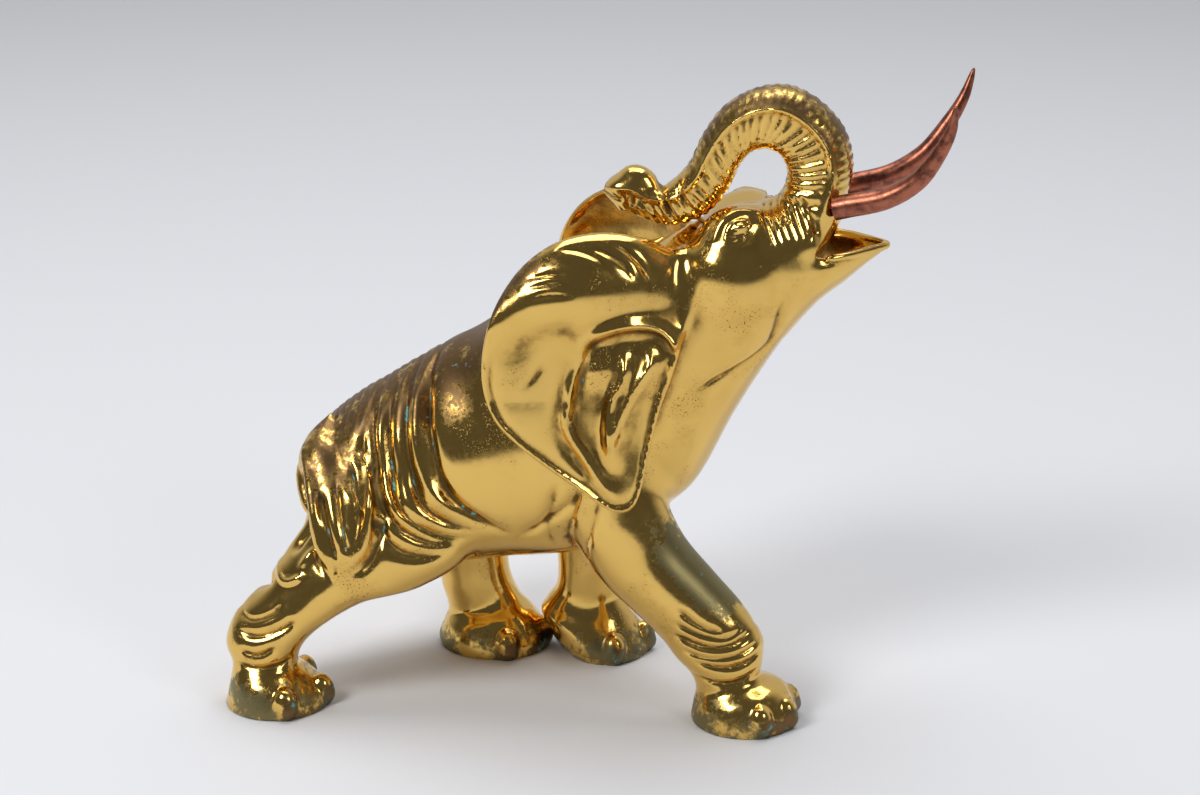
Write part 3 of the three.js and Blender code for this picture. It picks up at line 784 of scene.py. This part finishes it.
FLAP_GROOVES = (
    Crease(((-151, 126), (-142, 106), (-137, 87), (-127, 68)), 2.6, 2.4),
    Crease(((-115, 72), (-105, 84), (-100, 100), (-101, 117)), 2.4, 2.4),
    Crease(((-134, 114), (-131, 104), (-126, 90), (-122, 80)), 2.6, 1.8),
    Crease(((-127, 120), (-123, 106), (-119, 92), (-118, 84)), 2.2, 1.6),
    Crease(((-121, 127), (-115, 111), (-112, 97)), 2.2, 1.6),
)
HEAD_FOLDS = (
    Crease(((96, 221), (91, 210), (88, 195), (83, 187), (70, 179), (56, 172), (42, 164)), 2.0, 2.6, BOTH),
)
ROOT_FAN = (
    ((79, 261), (82, 254), (85, 247), (89, 240)),
    ((97, 266), (101, 260), (105, 253), (108, 246)),
)
TRUNK_TIP_FOLDS = (
    Crease(((-2, 261), (6, 257.5), (14, 257)), 1.6, 1.3, BOTH),
    Crease(((29, 270), (32, 259), (37, 246)), 1.8, 1.5, BOTH),
    Crease(((40, 271), (41, 260), (45, 250)), 1.2, 1.4, BOTH),
    Crease(((3, 254), (12, 252), (21, 253), (30, 248)), -1.1, 1.6, BOTH),
)
EAR_FOLDS = (
    Crease(((-30, 229), (-16, 233), (-2, 233)), 1.2, 1.4, fade=0.45),
    Crease(((-31, 225), (-15, 229), (0, 228)), 1.1, 1.4, fade=0.45),
    Crease(((-30, 220), (-15, 224), (-2, 223)), 0.9, 1.4, fade=0.45),
    Crease(((-15, 243), (-4, 243), (7, 239), (15, 230)), 1.2, 1.7, fade=0.4),
    Crease(((-4, 245), (9, 242), (19, 236), (26, 225)), 1.6, 1.8, fade=0.4),
    Crease(((9, 246), (19, 242), (27, 234), (32, 222)), 1.6, 1.8, fade=0.4),
    Crease(((-29, 175), (-22, 184), (-17, 190)), 0.5, 1.6, sharp=2.0, fade=0.45),
)
FEET = ((79, -40, 25, 4), (-158, -52, 26, 3), (-61, 36, 27, 3), (-4, 36, 25, 3))    # x, y, reach, nails
BACK_NOTCHES = ((-139, 136), (-131, 143), (-122, 150), (-112, 157), (-102, 164), (-91, 171), (-81, 177))


@dataclass
class Casting:
    """The whole cast figure in one skin."""

    name: str = "elephant_figure"
    step: float = 0.8
    reach: float = 11.0
    limit: int = 192_000           # triangles of the finished piece
    nail_mound: tuple = (6.4, 6.4, 9.0)
    nail: tuple = (4.6, 4.6, 5.4)
    creases: list = field(default_factory=list)

    def note(self, clay: Clay, folds: tuple) -> None:
        """Lays creases on the clay as it is now, to be pressed into the finished skin.

        Args:
            clay: The figure so far.
            folds: The creases.
        """
        for fold in folds:
            for side in fold.sides:
                self.creases.append((clay.lay(fold.path, side), fold))

    def body(self, clay: Clay) -> None:
        """Torso, legs and the flap over the tail.

        Args:
            clay: The figure so far.
        """
        clay.add(Loft(TORSO, 14, 220).skin(), 1)
        for ribs in (RIGHT_FORELEG, RIGHT_HIND_LEG, LEFT_HIND_LEG, LEFT_FORELEG):
            window, block = clay.measure(Loft(ribs).skin())
            clay.join(window, block, 0.5 + 8.5 * rise(clay.places(window)[2], 60, 95))
        clay.bulge((-28, -16, 168), (34, 26, 30), 25, 12)
        clay.bulge((-28, 16, 168), (34, 26, 30), 25, 12)
        self.note(clay, FLANK_FOLDS + LEG_FOLDS)
        for x, z in curve(BACK_NOTCHES, 15):
            down = ((x, z), (x - 1.5, z - 7), (x - 2, z - 16))
            self.note(clay, (Crease(down, 0.7, 1.4, BOTH, fade=0.4),))
            ridge = np.array([[x, y, z - 0.012 * y * y] for y in (-16, -8, 0, 8, 16)], float)
            self.creases.append((ridge, Crease((), 0.8, 1.4, fade=0.1)))
        clay.add(Loft(TAIL_FLAP).skin(), 2.0)
        for path, thick in FLAP_RIMS:
            line = clay.lay(path, Side.RIGHT, -0.6)
            clay.join(*clay.chain(line, thick * taper(np.linspace(0, 1, len(line)), 0.3) + 0.4, 3), 2.5)
        self.note(clay, FLAP_GROOVES)

    def head(self, clay: Clay) -> None:
        """Cheeks, jaw, mouth, trunk and eyes.

        Args:
            clay: The figure so far.
        """
        for side in (-1, 1):
            clay.bulge((64, 21 * side, 224), (20, 17.5, 22), 20, 8)
            clay.bulge((67, 15 * side, 248), (14, 13, 9), 20, 9)
        clay.add(Loft(JAW).skin(), 5)
        clay.cut(Loft(MOUTH_BOWL).skin(), 1.5)
        clay.cut(Loft(MOUTH_GAP).skin(), 1.2)
        clay.add(Trunk().skin(), 3.5)
        clay.bulge((20, 0, 266), (8.5, 7, 5.5), -25, 5)
        rim = np.array([[x, half, 235.4 + 0.05 * (x - 107)] for x, half in JAW_RIM], float)
        rim = curve(np.concatenate([rim * [1, -1, 1], rim[-2::-1]]), 60)
        clay.join(*clay.chain(rim, 0.5 + 1.3 * taper(np.linspace(0, 1, 60), 0.12), 3), 1.6)
        for side in BOTH:
            self.eye(clay, side)
        self.note(clay, HEAD_FOLDS + TRUNK_TIP_FOLDS)
        first, last = (np.asarray(line, float) for line in ROOT_FAN)
        for share in np.linspace(0, 1, 7):
            pleat = tuple(map(tuple, first + share * (last - first)))
            self.note(clay, (Crease(pleat, 1.5, 1.15, BOTH),))

    def eye(self, clay: Clay, side: Side) -> None:
        """Eyeball, lids and brow on one side.

        Args:
            clay: The figure so far.
            side: The eye's side.
        """
        out = clay.skin_y(70, 249.5, side)
        clay.bulge((70, out - side.value * 0.9, 249.2), (4.8, 2.3, 2.7), 33, 0.5)
        clay.bulge((69.4, out + side.value * 1.5, 249.6), (1.1, 0.9, 1.1), 0, 0.4, hollow=True)
        for path, radius, lift, blend in EYELIDS:
            line = clay.lay(path, side, lift - radius * 0.5)
            radii = radius * (0.35 + 0.65 * np.sin(np.linspace(0.1, math.pi - 0.1, len(line))))
            clay.join(*clay.chain(line, radii, 3), blend)

    def ears(self, clay: Clay) -> None:
        """Both ears, set into the head softly above and standing free below.

        Args:
            clay: The figure so far.
        """
        for side, squeeze, flare in ((Side.RIGHT, 1.0, 0.24), (Side.LEFT, 0.87, 0.36)):
            root = tuple((*rib[:5], side.value * rib[5], rib[6]) for rib in EAR_ROOT)
            clay.add(Loft(root).skin(), 6)
            window, block = clay.measure(Ear(side, squeeze, flare).skin())
            x, _, z = clay.places(window)
            clay.join(window, block, 1.5 + 3.5 * rise(x, 24, 36) + 6 * rise(x, 18, 42) * rise(z, 196, 220))
        self.note(clay, EAR_FOLDS)

    def feet(self, clay: Clay) -> None:
        """Round nails on the front rim of each foot.

        Args:
            clay: The figure so far.
        """
        for x, y, reach, count in FEET:
            for turn in np.radians(np.linspace(-66, 66, count)):
                middle = (x + (reach - 3.0) * math.cos(turn), y + (reach - 3.4) * math.sin(turn), 7.0)
                clay.bulge(middle, self.nail_mound, 0, 1.5)
                middle = (x + (reach - 0.6) * math.cos(turn), y + (reach - 1.0) * math.sin(turn), 5.6)
                clay.bulge(middle, self.nail, 0, 0.3)

    def mesh(self) -> bpy.types.Mesh:
        """Carves the clay, skins it, presses the creases and thins the mesh.

        Returns:
            The figure's mesh, in metres in the part's frame.
        """
        step = self.step
        clay = Clay((-190, -82, -5), (183, 81, 322), step, self.reach)
        self.body(clay)
        self.head(clay)
        self.ears(clay)
        self.feet(clay)
        hide = Hide(*clay.surface())
        hide.smooth(2)
        hide.press(self.creases)
        hide.smooth(1)
        hide.points[:, 2] = np.maximum(hide.points[:, 2], 0)
        log.info("hide: %d points", len(hide.points))
        mesh = bpy.data.meshes.new(self.name)
        fill(mesh, (hide.points - MIDDLE) * MM, hide.quads)
        return thinned(mesh, self.limit)


def fill(mesh: bpy.types.Mesh, points: np.ndarray, quads: np.ndarray) -> None:
    """Puts points and quads into an empty mesh, smooth shaded.

    Args:
        mesh: The empty mesh.
        points: Points, n by 3.
        quads: Corners of each face, by number.
    """
    mesh.vertices.add(len(points))
    mesh.vertices.foreach_set("co", points.astype(np.float32).ravel())
    mesh.loops.add(quads.size)
    mesh.loops.foreach_set("vertex_index", quads.astype(np.int32).ravel())
    mesh.polygons.add(len(quads))
    mesh.polygons.foreach_set("loop_start", np.arange(0, quads.size, 4, dtype=np.int32))
    mesh.update(calc_edges=True)
    mesh.shade_smooth()


def thinned(mesh: bpy.types.Mesh, limit: int) -> bpy.types.Mesh:
    """A copy of a quad mesh with at most limit triangles, kept densest where it bends most.

    Args:
        mesh: The full mesh.
        limit: The most triangles.

    Returns:
        The thinned mesh, or the mesh itself where it is small enough.
    """
    ratio = limit / (2 * len(mesh.polygons))
    if ratio >= 1:
        return mesh
    carrier = bpy.data.objects.new("carrier", mesh)
    bpy.context.scene.collection.objects.link(carrier)
    modifier = carrier.modifiers.new("thin", "DECIMATE")
    modifier.ratio = ratio
    graph = bpy.context.evaluated_depsgraph_get()
    result = bpy.data.meshes.new_from_object(carrier.evaluated_get(graph))
    bpy.data.objects.remove(carrier)
    result.shade_smooth()
    return result


@dataclass
class Tusk:
    """A copper tusk: a round bar along a curve, thick in the face and drawn out to a point."""

    side: Side
    root: float = 5.6
    path: tuple = ((122, 261), (140, 266), (155, 276), (165, 290), (171.5, 303), (174.5, 316))
    spread: tuple = (20, 33)
    lean: tuple = (3.6, 2.0)

    @property
    def name(self) -> str:
        """The piece's name."""
        return f"copper_tusk_{self.side.name.lower()}"

    @property
    def node(self) -> str:
        """The CAD node that this piece stands for."""
        return f"tusk_{self.side.name.lower()}"

    def mesh(self) -> bpy.types.Mesh:
        """The tusk's mesh: at fraction f of its length the radius is root (1 - f)^0.55 (1 + f/4).

        Returns:
            The mesh, in metres in the part's frame.
        """
        s = self.side.value
        f = np.linspace(0, 1, len(self.path))
        flat = np.asarray(self.path, float)
        y = s * (self.spread[0] + (self.spread[1] - self.spread[0]) * f)
        rows = np.stack([flat[:, 0] + s * self.lean[0] * f * f, y, flat[:, 1] + s * self.lean[1] * f * f], -1)
        rows = np.vstack([rows[0] - 7 * (rows[1] - rows[0]) / np.linalg.norm(rows[1] - rows[0]), rows])
        line = curve(rows, 90)
        length = np.concatenate([[0], np.cumsum(np.linalg.norm(np.diff(line, axis=0), axis=1))])
        f = (length / length[-1])[:, None]
        radius = self.root * (1 - f) ** 0.55 * (1 + 0.25 * f) + 0.25
        run = np.gradient(line, axis=0)
        run /= np.linalg.norm(run, axis=1, keepdims=True)
        across = np.array([0.0, 1.0, 0.0]) - run * run[:, 1:2]
        across /= np.linalg.norm(across, axis=1, keepdims=True)
        other = np.cross(run, across)
        turn = np.linspace(0, 2 * math.pi, 40, endpoint=False)
        ring = across[:, None] * np.cos(turn)[None, :, None] + other[:, None] * np.sin(turn)[None, :, None]
        skin = Skin.over(closed(line[:, None] + radius[:, None] * ring))
        mesh = bpy.data.meshes.new(self.name)
        fill(mesh, (skin.points - MIDDLE) * MM, skin.quads)
        work = bmesh.new()
        work.from_mesh(mesh)
        bmesh.ops.remove_doubles(work, verts=work.verts, dist=1e-6)
        bmesh.ops.recalc_face_normals(work, faces=work.faces)
        work.to_mesh(mesh)
        work.free()
        mesh.shade_smooth()
        return mesh


# ------------------------------------------------------------------------------ finishes
class Wiring:
    """Adds nodes to one node tree and joins them."""

    def __init__(self, tree: bpy.types.NodeTree) -> None:
        """Takes the tree to work in."""
        self.tree = tree

    def add(self, kind: str, set_: dict | None = None, **inputs: Any) -> bpy.types.Node:
        """Adds a node, sets its own settings, and gives its sockets values or links.

        Args:
            kind: Blender's name of the node type.
            set_: Settings of the node itself.
            inputs: Values or output sockets by input name, with _ for a space, or by number as i0, i1.

        Returns:
            The node.
        """
        node = self.tree.nodes.new(kind)
        for key, value in (set_ or {}).items():
            setattr(node, key, value)
        for key, value in inputs.items():
            number = key[1:].isdigit() and key[0] == "i"
            socket = node.inputs[int(key[1:])] if number else node.inputs[key.replace("_", " ")]
            if isinstance(value, bpy.types.NodeSocket):
                self.tree.links.new(value, socket)
            else:
                socket.default_value = value
        return node

    def math(self, operation: str, *values: Any, clamp: bool = False) -> bpy.types.NodeSocket:
        """One Math node's result."""
        inputs = {f"i{k}": value for k, value in enumerate(values)}
        return self.add("ShaderNodeMath", {"operation": operation, "use_clamp": clamp}, **inputs).outputs[0]

    def mix(self, share: Any, a: Any, b: Any) -> bpy.types.NodeSocket:
        """Colour mixed from a to b by share."""
        node = self.add("ShaderNodeMix", {"data_type": "RGBA"}, i0=share, i6=a, i7=b)
        return node.outputs[2]

    def value_mix(self, share: Any, a: Any, b: Any) -> bpy.types.NodeSocket:
        """Number mixed from a to b by share."""
        return self.add("ShaderNodeMix", {"data_type": "FLOAT"}, i0=share, i2=a, i3=b).outputs[0]

    def ramp(self, value: Any, low: float, high: float, start: float = 0.0,
             end: float = 1.0) -> bpy.types.NodeSocket:
        """Value's share of the way from low to high, smooth and clamped, as a number from start to end."""
        node = self.add("ShaderNodeMapRange", {"interpolation_type": "SMOOTHSTEP"},
                        i0=value, i1=low, i2=high, i3=start, i4=end)
        return node.outputs[0]

    def ragged(self, mask: Any, noise: Any, depth: float) -> bpy.types.NodeSocket:
        """A mask with its edge broken up: mask + (noise - 1/2) depth."""
        return self.math("ADD", mask, self.math("MULTIPLY", self.math("SUBTRACT", noise, 0.5), depth))

    def noise(self, place: Any, scale: Any, detail: float, roughness: float) -> bpy.types.NodeSocket:
        """A noise texture's value."""
        return self.add("ShaderNodeTexNoise", Vector=place, Scale=scale, Detail=detail,
                        Roughness=roughness).outputs[0]

    def attribute(self, name: str) -> bpy.types.NodeSocket:
        """A number carried on the mesh's points."""
        return self.add("ShaderNodeAttribute", {"attribute_name": name}).outputs["Fac"]


def rgb(red: float, green: float, blue: float) -> tuple:
    """A colour with full alpha."""
    return (red, green, blue, 1.0)


@dataclass(frozen=True)
class Mottle:
    """The shader group both metals share: cloudy stains, fine grain, and pits gathered where it is cloudy."""

    name: str = "metal_mottle"
    scales: tuple = ("Cloud Scale", "Grain Scale", "Pit Scale")
    masks: tuple = ("Cloud", "Grain", "Pits")

    def group(self) -> bpy.types.ShaderNodeTree:
        """The group, built the first time that it is asked for.

        Returns:
            A group that takes three noise scales and puts out three masks.
        """
        made = bpy.data.node_groups.get(self.name)
        if made:
            return made
        tree = bpy.data.node_groups.new(self.name, "ShaderNodeTree")
        for label in self.scales:
            tree.interface.new_socket(label, in_out="INPUT", socket_type="NodeSocketFloat")
        for label in self.masks:
            tree.interface.new_socket(label, in_out="OUTPUT", socket_type="NodeSocketFloat")
        w = Wiring(tree)
        given = w.add("NodeGroupInput").outputs
        place = w.add("ShaderNodeTexCoord").outputs["Object"]
        cloud = w.noise(place, given["Cloud Scale"], 6, 0.6)
        grain = w.noise(place, given["Grain Scale"], 5, 0.65)
        speck = w.noise(place, given["Pit Scale"], 3, 0.6)
        pits = w.math("MULTIPLY", w.ramp(speck, 0.60, 0.68), w.ramp(cloud, 0.50, 0.66))
        w.add("NodeGroupOutput", Cloud=cloud, Grain=grain, Pits=pits)
        return tree

    def use(self, w: Wiring, cloud: float, grain: float, pit: float) -> list[bpy.types.NodeSocket]:
        """Places the group in a material with its own scales.

        Args:
            w: The material's wiring.
            cloud: Scale of the stains.
            grain: Scale of the grain.
            pit: Scale of the pits.

        Returns:
            The cloud, grain and pit masks.
        """
        node = w.add("ShaderNodeGroup", {"node_tree": self.group()},
                     Cloud_Scale=cloud, Grain_Scale=grain, Pit_Scale=pit)
        return [node.outputs[label] for label in self.masks]


@dataclass(frozen=True)
class Bronze:
    """Polished yellow bronze with brown patina, tarnish, dark pits and verdigris in its creases."""

    polished: tuple = rgb(0.80, 0.52, 0.14)
    warm: tuple = rgb(0.58, 0.33, 0.075)
    brown: tuple = rgb(0.10, 0.052, 0.034)
    tarnish: tuple = rgb(0.15, 0.15, 0.085)
    dark: tuple = rgb(0.035, 0.026, 0.014)
    verdigris: tuple = rgb(0.16, 0.42, 0.40)

    def material(self) -> bpy.types.Material:
        """The bronze's material: stains, patina, tarnish, dirt and verdigris laid over each other in turn.

        Returns:
            The material.
        """
        material = bpy.data.materials.new("polished_bronze")
        material.use_nodes = True
        w = Wiring(material.node_tree)
        shader = material.node_tree.nodes["Principled BSDF"]
        place = w.add("ShaderNodeTexCoord").outputs["Object"]
        cloud, fine, pits = Mottle().use(w, 38.0, 420.0, 1100.0)
        blotch = w.noise(place, 130, 5, 0.62)
        cavity = w.attribute("cavity")
        patina = w.attribute("patina")
        tarnish = w.attribute("tarnish")
        green = w.attribute("verdigris")

        stain = w.math("MAXIMUM", w.ramp(cavity, 0.35, 0.8), w.ramp(cloud, 0.45, 0.75, 0.0, 0.8))
        colour = w.mix(w.math("MULTIPLY", stain, 0.6), self.polished, self.warm)
        brown = w.ramp(w.ragged(w.ragged(patina, fine, 0.9), blotch, 1.5), 0.35, 0.72)
        dull = w.ramp(w.ragged(w.ragged(tarnish, fine, 0.9), blotch, 1.3), 0.36, 0.66)
        colour = w.mix(w.math("MULTIPLY", brown, 0.85), colour, self.brown)
        colour = w.mix(w.math("MULTIPLY", dull, 0.85), colour, self.tarnish)
        crevice = w.ramp(w.ragged(cavity, blotch, 0.5), 0.58, 0.95)
        dirt = w.math("MAXIMUM", w.math("MULTIPLY", pits, 0.9), w.math("MULTIPLY", crevice, 0.8))
        colour = w.mix(dirt, colour, self.dark)
        spots = w.ramp(w.ragged(w.ragged(green, fine, 1.2), blotch, 1.4), 0.55, 0.75)
        colour = w.mix(spots, colour, self.verdigris)
        metal = w.math("SUBTRACT", 1.0, w.math("MULTIPLY", spots, 0.9), clamp=True)
        rough = w.ramp(fine, 0.3, 0.7, 0.09, 0.16)
        rough = w.value_mix(w.math("MAXIMUM", brown, dull), rough, 0.40)
        rough = w.value_mix(w.math("MAXIMUM", dirt, spots), rough, 0.65)
        uneven = w.math("MULTIPLY", w.noise(place, 75, 3, 0.5), 1.1)
        height = w.math("ADD", uneven, w.math("SUBTRACT", w.math("MULTIPLY", fine, 0.2), pits))
        bump = w.add("ShaderNodeBump", Strength=0.3, Distance=0.0003, Height=height)
        for name, socket in (("Base Color", colour), ("Metallic", metal), ("Roughness", rough),
                             ("Normal", bump.outputs[0])):
            material.node_tree.links.new(socket, shader.inputs[name])
        return material


@dataclass(frozen=True)
class Copper:
    """Reddish copper, satin and a little tarnished."""

    clean: tuple = rgb(0.42, 0.145, 0.085)
    stained: tuple = rgb(0.15, 0.055, 0.04)

    def material(self) -> bpy.types.Material:
        """The copper's material: clean metal, stained where it is cloudy or pitted.

        Returns:
            The material.
        """
        material = bpy.data.materials.new("worn_copper")
        material.use_nodes = True
        w = Wiring(material.node_tree)
        shader = material.node_tree.nodes["Principled BSDF"]
        cloud, fine, pits = Mottle().use(w, 160.0, 900.0, 1500.0)
        colour = w.mix(w.math("MAXIMUM", w.ramp(cloud, 0.4, 0.68), pits), self.clean, self.stained)
        rough = w.ramp(fine, 0.3, 0.7, 0.28, 0.44)
        shader.inputs["Metallic"].default_value = 1.0
        material.node_tree.links.new(colour, shader.inputs["Base Color"])
        material.node_tree.links.new(rough, shader.inputs["Roughness"])
        return material


@dataclass
class Wear:
    """Numbers on a mesh's points that the bronze reads: hollows, brown patina, tarnish and verdigris."""

    mesh: bpy.types.Mesh

    def read(self) -> tuple[np.ndarray, np.ndarray, np.ndarray]:
        """What the mesh holds.

        Returns:
            Points in the carving's millimetres, normals, and both ends of each edge.
        """
        count = len(self.mesh.vertices)
        points, normals = np.empty(count * 3, np.float32), np.empty(count * 3, np.float32)
        edges = np.empty(len(self.mesh.edges) * 2, np.int32)
        self.mesh.vertices.foreach_get("co", points)
        self.mesh.vertices.foreach_get("normal", normals)
        self.mesh.edges.foreach_get("vertices", edges)
        return points.reshape(-1, 3) / MM + MIDDLE, normals.reshape(-1, 3), edges.reshape(-1, 2)

    def hollowness(self, points: np.ndarray, normals: np.ndarray, edges: np.ndarray) -> np.ndarray:
        """How far a point lies below the mean of its surroundings, blurred over wider and wider rings.

        Args:
            points: The mesh's points.
            normals: Their normals.
            edges: Both ends of each edge.

        Returns:
            A number from 0 on a crest, through 1/2 on the flat, to 1 in a hollow.
        """
        start = np.concatenate([edges[:, 0], edges[:, 1]])
        end = np.concatenate([edges[:, 1], edges[:, 0]])
        count = np.maximum(np.bincount(start, minlength=len(points)), 1)

        def mean(values: np.ndarray) -> np.ndarray:
            """Mean over each point's neighbours."""
            columns = [np.bincount(start, column[end], len(points)) / count for column in values.T]
            return np.stack(columns, -1)

        blurred = points
        for _ in range(5):
            blurred = 0.4 * blurred + 0.6 * mean(blurred)
        depth = np.einsum("ij,ij->i", blurred - points, normals)
        soft = depth[:, None]
        for _ in range(2):
            soft = 0.5 * soft + 0.5 * mean(soft)
        return np.clip(0.5 + soft[:, 0] * 1.6, 0, 1)

    def brown(self, points: np.ndarray, up: np.ndarray) -> np.ndarray:
        """Brown patina over the back, the rump, the trunk's back and the nails.

        Args:
            points: The mesh's points.
            up: How far each point's skin faces up.

        Returns:
            A number from 0 to 1 for each point.
        """
        x, y, z = points.T
        back = rise(up, 0.05, 0.7) * rise(-x, -10, 45) * rise(z, 95, 150)
        rump = hill(x, -132, 28) * hill(z, 125, 28) * rise(up, -0.5, 0.4)
        trunk_back = rise(z, 258, 282) * rise(up, -0.15, 0.5) * 0.62
        patina = np.clip(np.maximum(np.maximum(0.8 * back, 0.7 * rump), trunk_back), 0, 1)
        for foot_x, foot_y, reach, _ in FEET:
            far = np.hypot(x - foot_x, y - foot_y)
            nail = rise(far, reach - 1.5, reach + 1) * rise((x - foot_x) / np.maximum(far, 1), 0.2, 0.4)
            patina = np.maximum(patina, 0.9 * nail * rise(-z, -13, -9) * (np.abs(far - reach) < 9))
        return patina

    def grey(self, points: np.ndarray, normals: np.ndarray, patch: np.ndarray) -> np.ndarray:
        """Grey-green tarnish: one patch on the front of the right foreleg, and the feet in patches.

        Args:
            points: The mesh's points.
            normals: Their normals.
            patch: A slow wave over the figure.

        Returns:
            A number from 0 to 1 for each point.
        """
        x, y, z = points.T
        forward = normals[:, 0] + 0.6 * normals[:, 2]
        shin = hill(x, 58, 30) * hill(y, -44, 26) * hill(z, 82, 30) * rise(forward, 0.1, 0.7)
        foot = rise(-z, -30, -6) * (0.25 + 0.55 * patch)
        return np.clip(np.maximum(shin * 1.25, foot), 0, 1)

    def lay_on(self) -> None:
        """Works out all the numbers and stores them on the mesh.

        The patches are 1/2 + 1/2 the product of two sines of slanting, bent distances.
        """
        points, normals, edges = self.read()
        x, y, z = points.T
        cavity = self.hollowness(points, normals, edges)
        patch = 0.5 + 0.5 * np.sin(0.13 * x + 2 * np.sin(0.09 * z)) * np.sin(0.11 * z + 0.07 * x + 0.05 * y)
        patina = self.brown(points, normals[:, 2])
        tarnish = self.grey(points, normals, patch)
        deep = rise(cavity, 0.62, 0.95) * rise(patch, 0.45, 0.8)
        verdigris = np.clip(0.5 * deep * rise(z, 20, 60) + 0.30 * patina + 0.28 * tarnish, 0, 1)
        named = {"cavity": cavity, "patina": patina, "tarnish": tarnish, "verdigris": verdigris}
        for name, values in named.items():
            layer = self.mesh.attributes.new(name, "FLOAT", "POINT")
            layer.data.foreach_set("value", values.astype(np.float32))


# ------------------------------------------------------------------------------ the studio
@dataclass(frozen=True)
class Lamp:
    """A soft box aimed at the figure."""

    name: str
    place: tuple
    size: tuple
    watts: float
    colour: tuple = (1.0, 1.0, 1.0)


@dataclass
class Studio:
    """Camera, pale floor, sky and soft boxes. Metres."""

    target: tuple = (0.0022, 0.0008, 0.152)
    distance: float = 1.4
    azimuth: float = 8.0
    elevation: float = 19.0
    lens: float = 84.0
    lamps: tuple = (
        Lamp("key_box", (-1.3, -1.5, 1.9), (0.9, 0.9), 32),
        Lamp("fill_box", (1.9, -1.2, 1.5), (0.7, 0.7), 9),
        Lamp("top_box", (0.0, 0.6, 2.4), (2.0, 1.4), 30),
    )

    def camera(self) -> None:
        """Makes the camera at the chosen angle."""
        a, e = math.radians(self.azimuth), math.radians(self.elevation)
        back = Vector((math.sin(a) * math.cos(e), -math.cos(a) * math.cos(e), math.sin(e)))
        data = bpy.data.cameras.new("camera")
        data.lens = self.lens
        data.sensor_width = 36.0
        camera = bpy.data.objects.new("camera", data)
        camera.location = Vector(self.target) + back * self.distance
        camera.rotation_mode = "QUATERNION"
        camera.rotation_quaternion = (-back).to_track_quat("-Z", "Y")
        bpy.context.scene.collection.objects.link(camera)
        bpy.context.scene.camera = camera

    def floor(self) -> None:
        """A wide pale floor."""
        half = 12.0
        mesh = bpy.data.meshes.new("floor")
        corners = [(-half, -half, 0), (half, -half, 0), (half, half, 0), (-half, half, 0)]
        mesh.from_pydata(corners, [], [(0, 1, 2, 3)])
        floor = bpy.data.objects.new("floor", mesh)
        bpy.context.scene.collection.objects.link(floor)
        material = bpy.data.materials.new("pale_floor")
        material.use_nodes = True
        shader = material.node_tree.nodes["Principled BSDF"]
        shader.inputs["Base Color"].default_value = rgb(0.78, 0.79, 0.82)
        shader.inputs["Roughness"].default_value = 0.85
        shader.inputs["Specular IOR Level"].default_value = 0.1
        mesh.materials.append(material)

    def sky(self) -> None:
        """A dim room in front and a paler one behind, shown with plain, unsoftened colours."""
        world = bpy.data.worlds.new("studio")
        world.use_nodes = True
        bpy.context.scene.world = world
        bpy.context.scene.view_settings.view_transform = "Standard"
        w = Wiring(world.node_tree)
        back = world.node_tree.nodes["Background"]
        toward = w.add("ShaderNodeTexCoord").outputs["Generated"]
        parts = w.add("ShaderNodeSeparateXYZ", Vector=toward)
        behind = w.ramp(parts.outputs["Y"], -0.1, 0.6)
        colour = w.mix(behind, rgb(0.10, 0.10, 0.10), rgb(0.60, 0.61, 0.64))
        world.node_tree.links.new(colour, back.inputs["Color"])
        back.inputs["Strength"].default_value = 1.0

    def light(self) -> None:
        """Soft boxes aimed at the figure."""
        for lamp in self.lamps:
            data = bpy.data.lights.new(lamp.name, "AREA")
            data.shape = "RECTANGLE"
            data.size, data.size_y = lamp.size
            data.energy = lamp.watts
            data.color = lamp.colour
            box = bpy.data.objects.new(lamp.name, data)
            box.location = lamp.place
            box.rotation_mode = "QUATERNION"
            box.rotation_quaternion = (Vector(self.target) - Vector(lamp.place)).to_track_quat("-Z", "Y")
            bpy.context.scene.collection.objects.link(box)


def place_piece(name: str, mesh: bpy.types.Mesh, material: bpy.types.Material, node: str) -> None:
    """Stands a finished mesh in the scene in place of a CAD node, riding with the figure.

    Args:
        name: The piece's name.
        mesh: Its mesh, in place.
        material: Its finish.
        node: The node that it stands for.
    """
    mesh.materials.clear()
    mesh.materials.append(material)
    piece = bpy.data.objects.new(name, mesh)
    bpy.context.scene.collection.objects.link(piece)
    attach(piece, "root")
    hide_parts(node)
    log.info("%s: %d faces", name, len(mesh.polygons))


def main() -> None:
    """Builds the studio, the casting and the tusks."""
    logging.basicConfig(level=logging.INFO)
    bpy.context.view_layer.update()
    studio = Studio()
    studio.camera()
    studio.floor()
    studio.sky()
    studio.light()

    casting = Casting()
    mesh = casting.mesh()
    Wear(mesh).lay_on()
    place_piece(casting.name, mesh, Bronze().material(), "elephant_casting")
    copper = Copper().material()
    for side in BOTH:
        tusk = Tusk(side)
        place_piece(tusk.name, tusk.mesh(), copper, tusk.node)


if __name__ == "__main__":
    main()
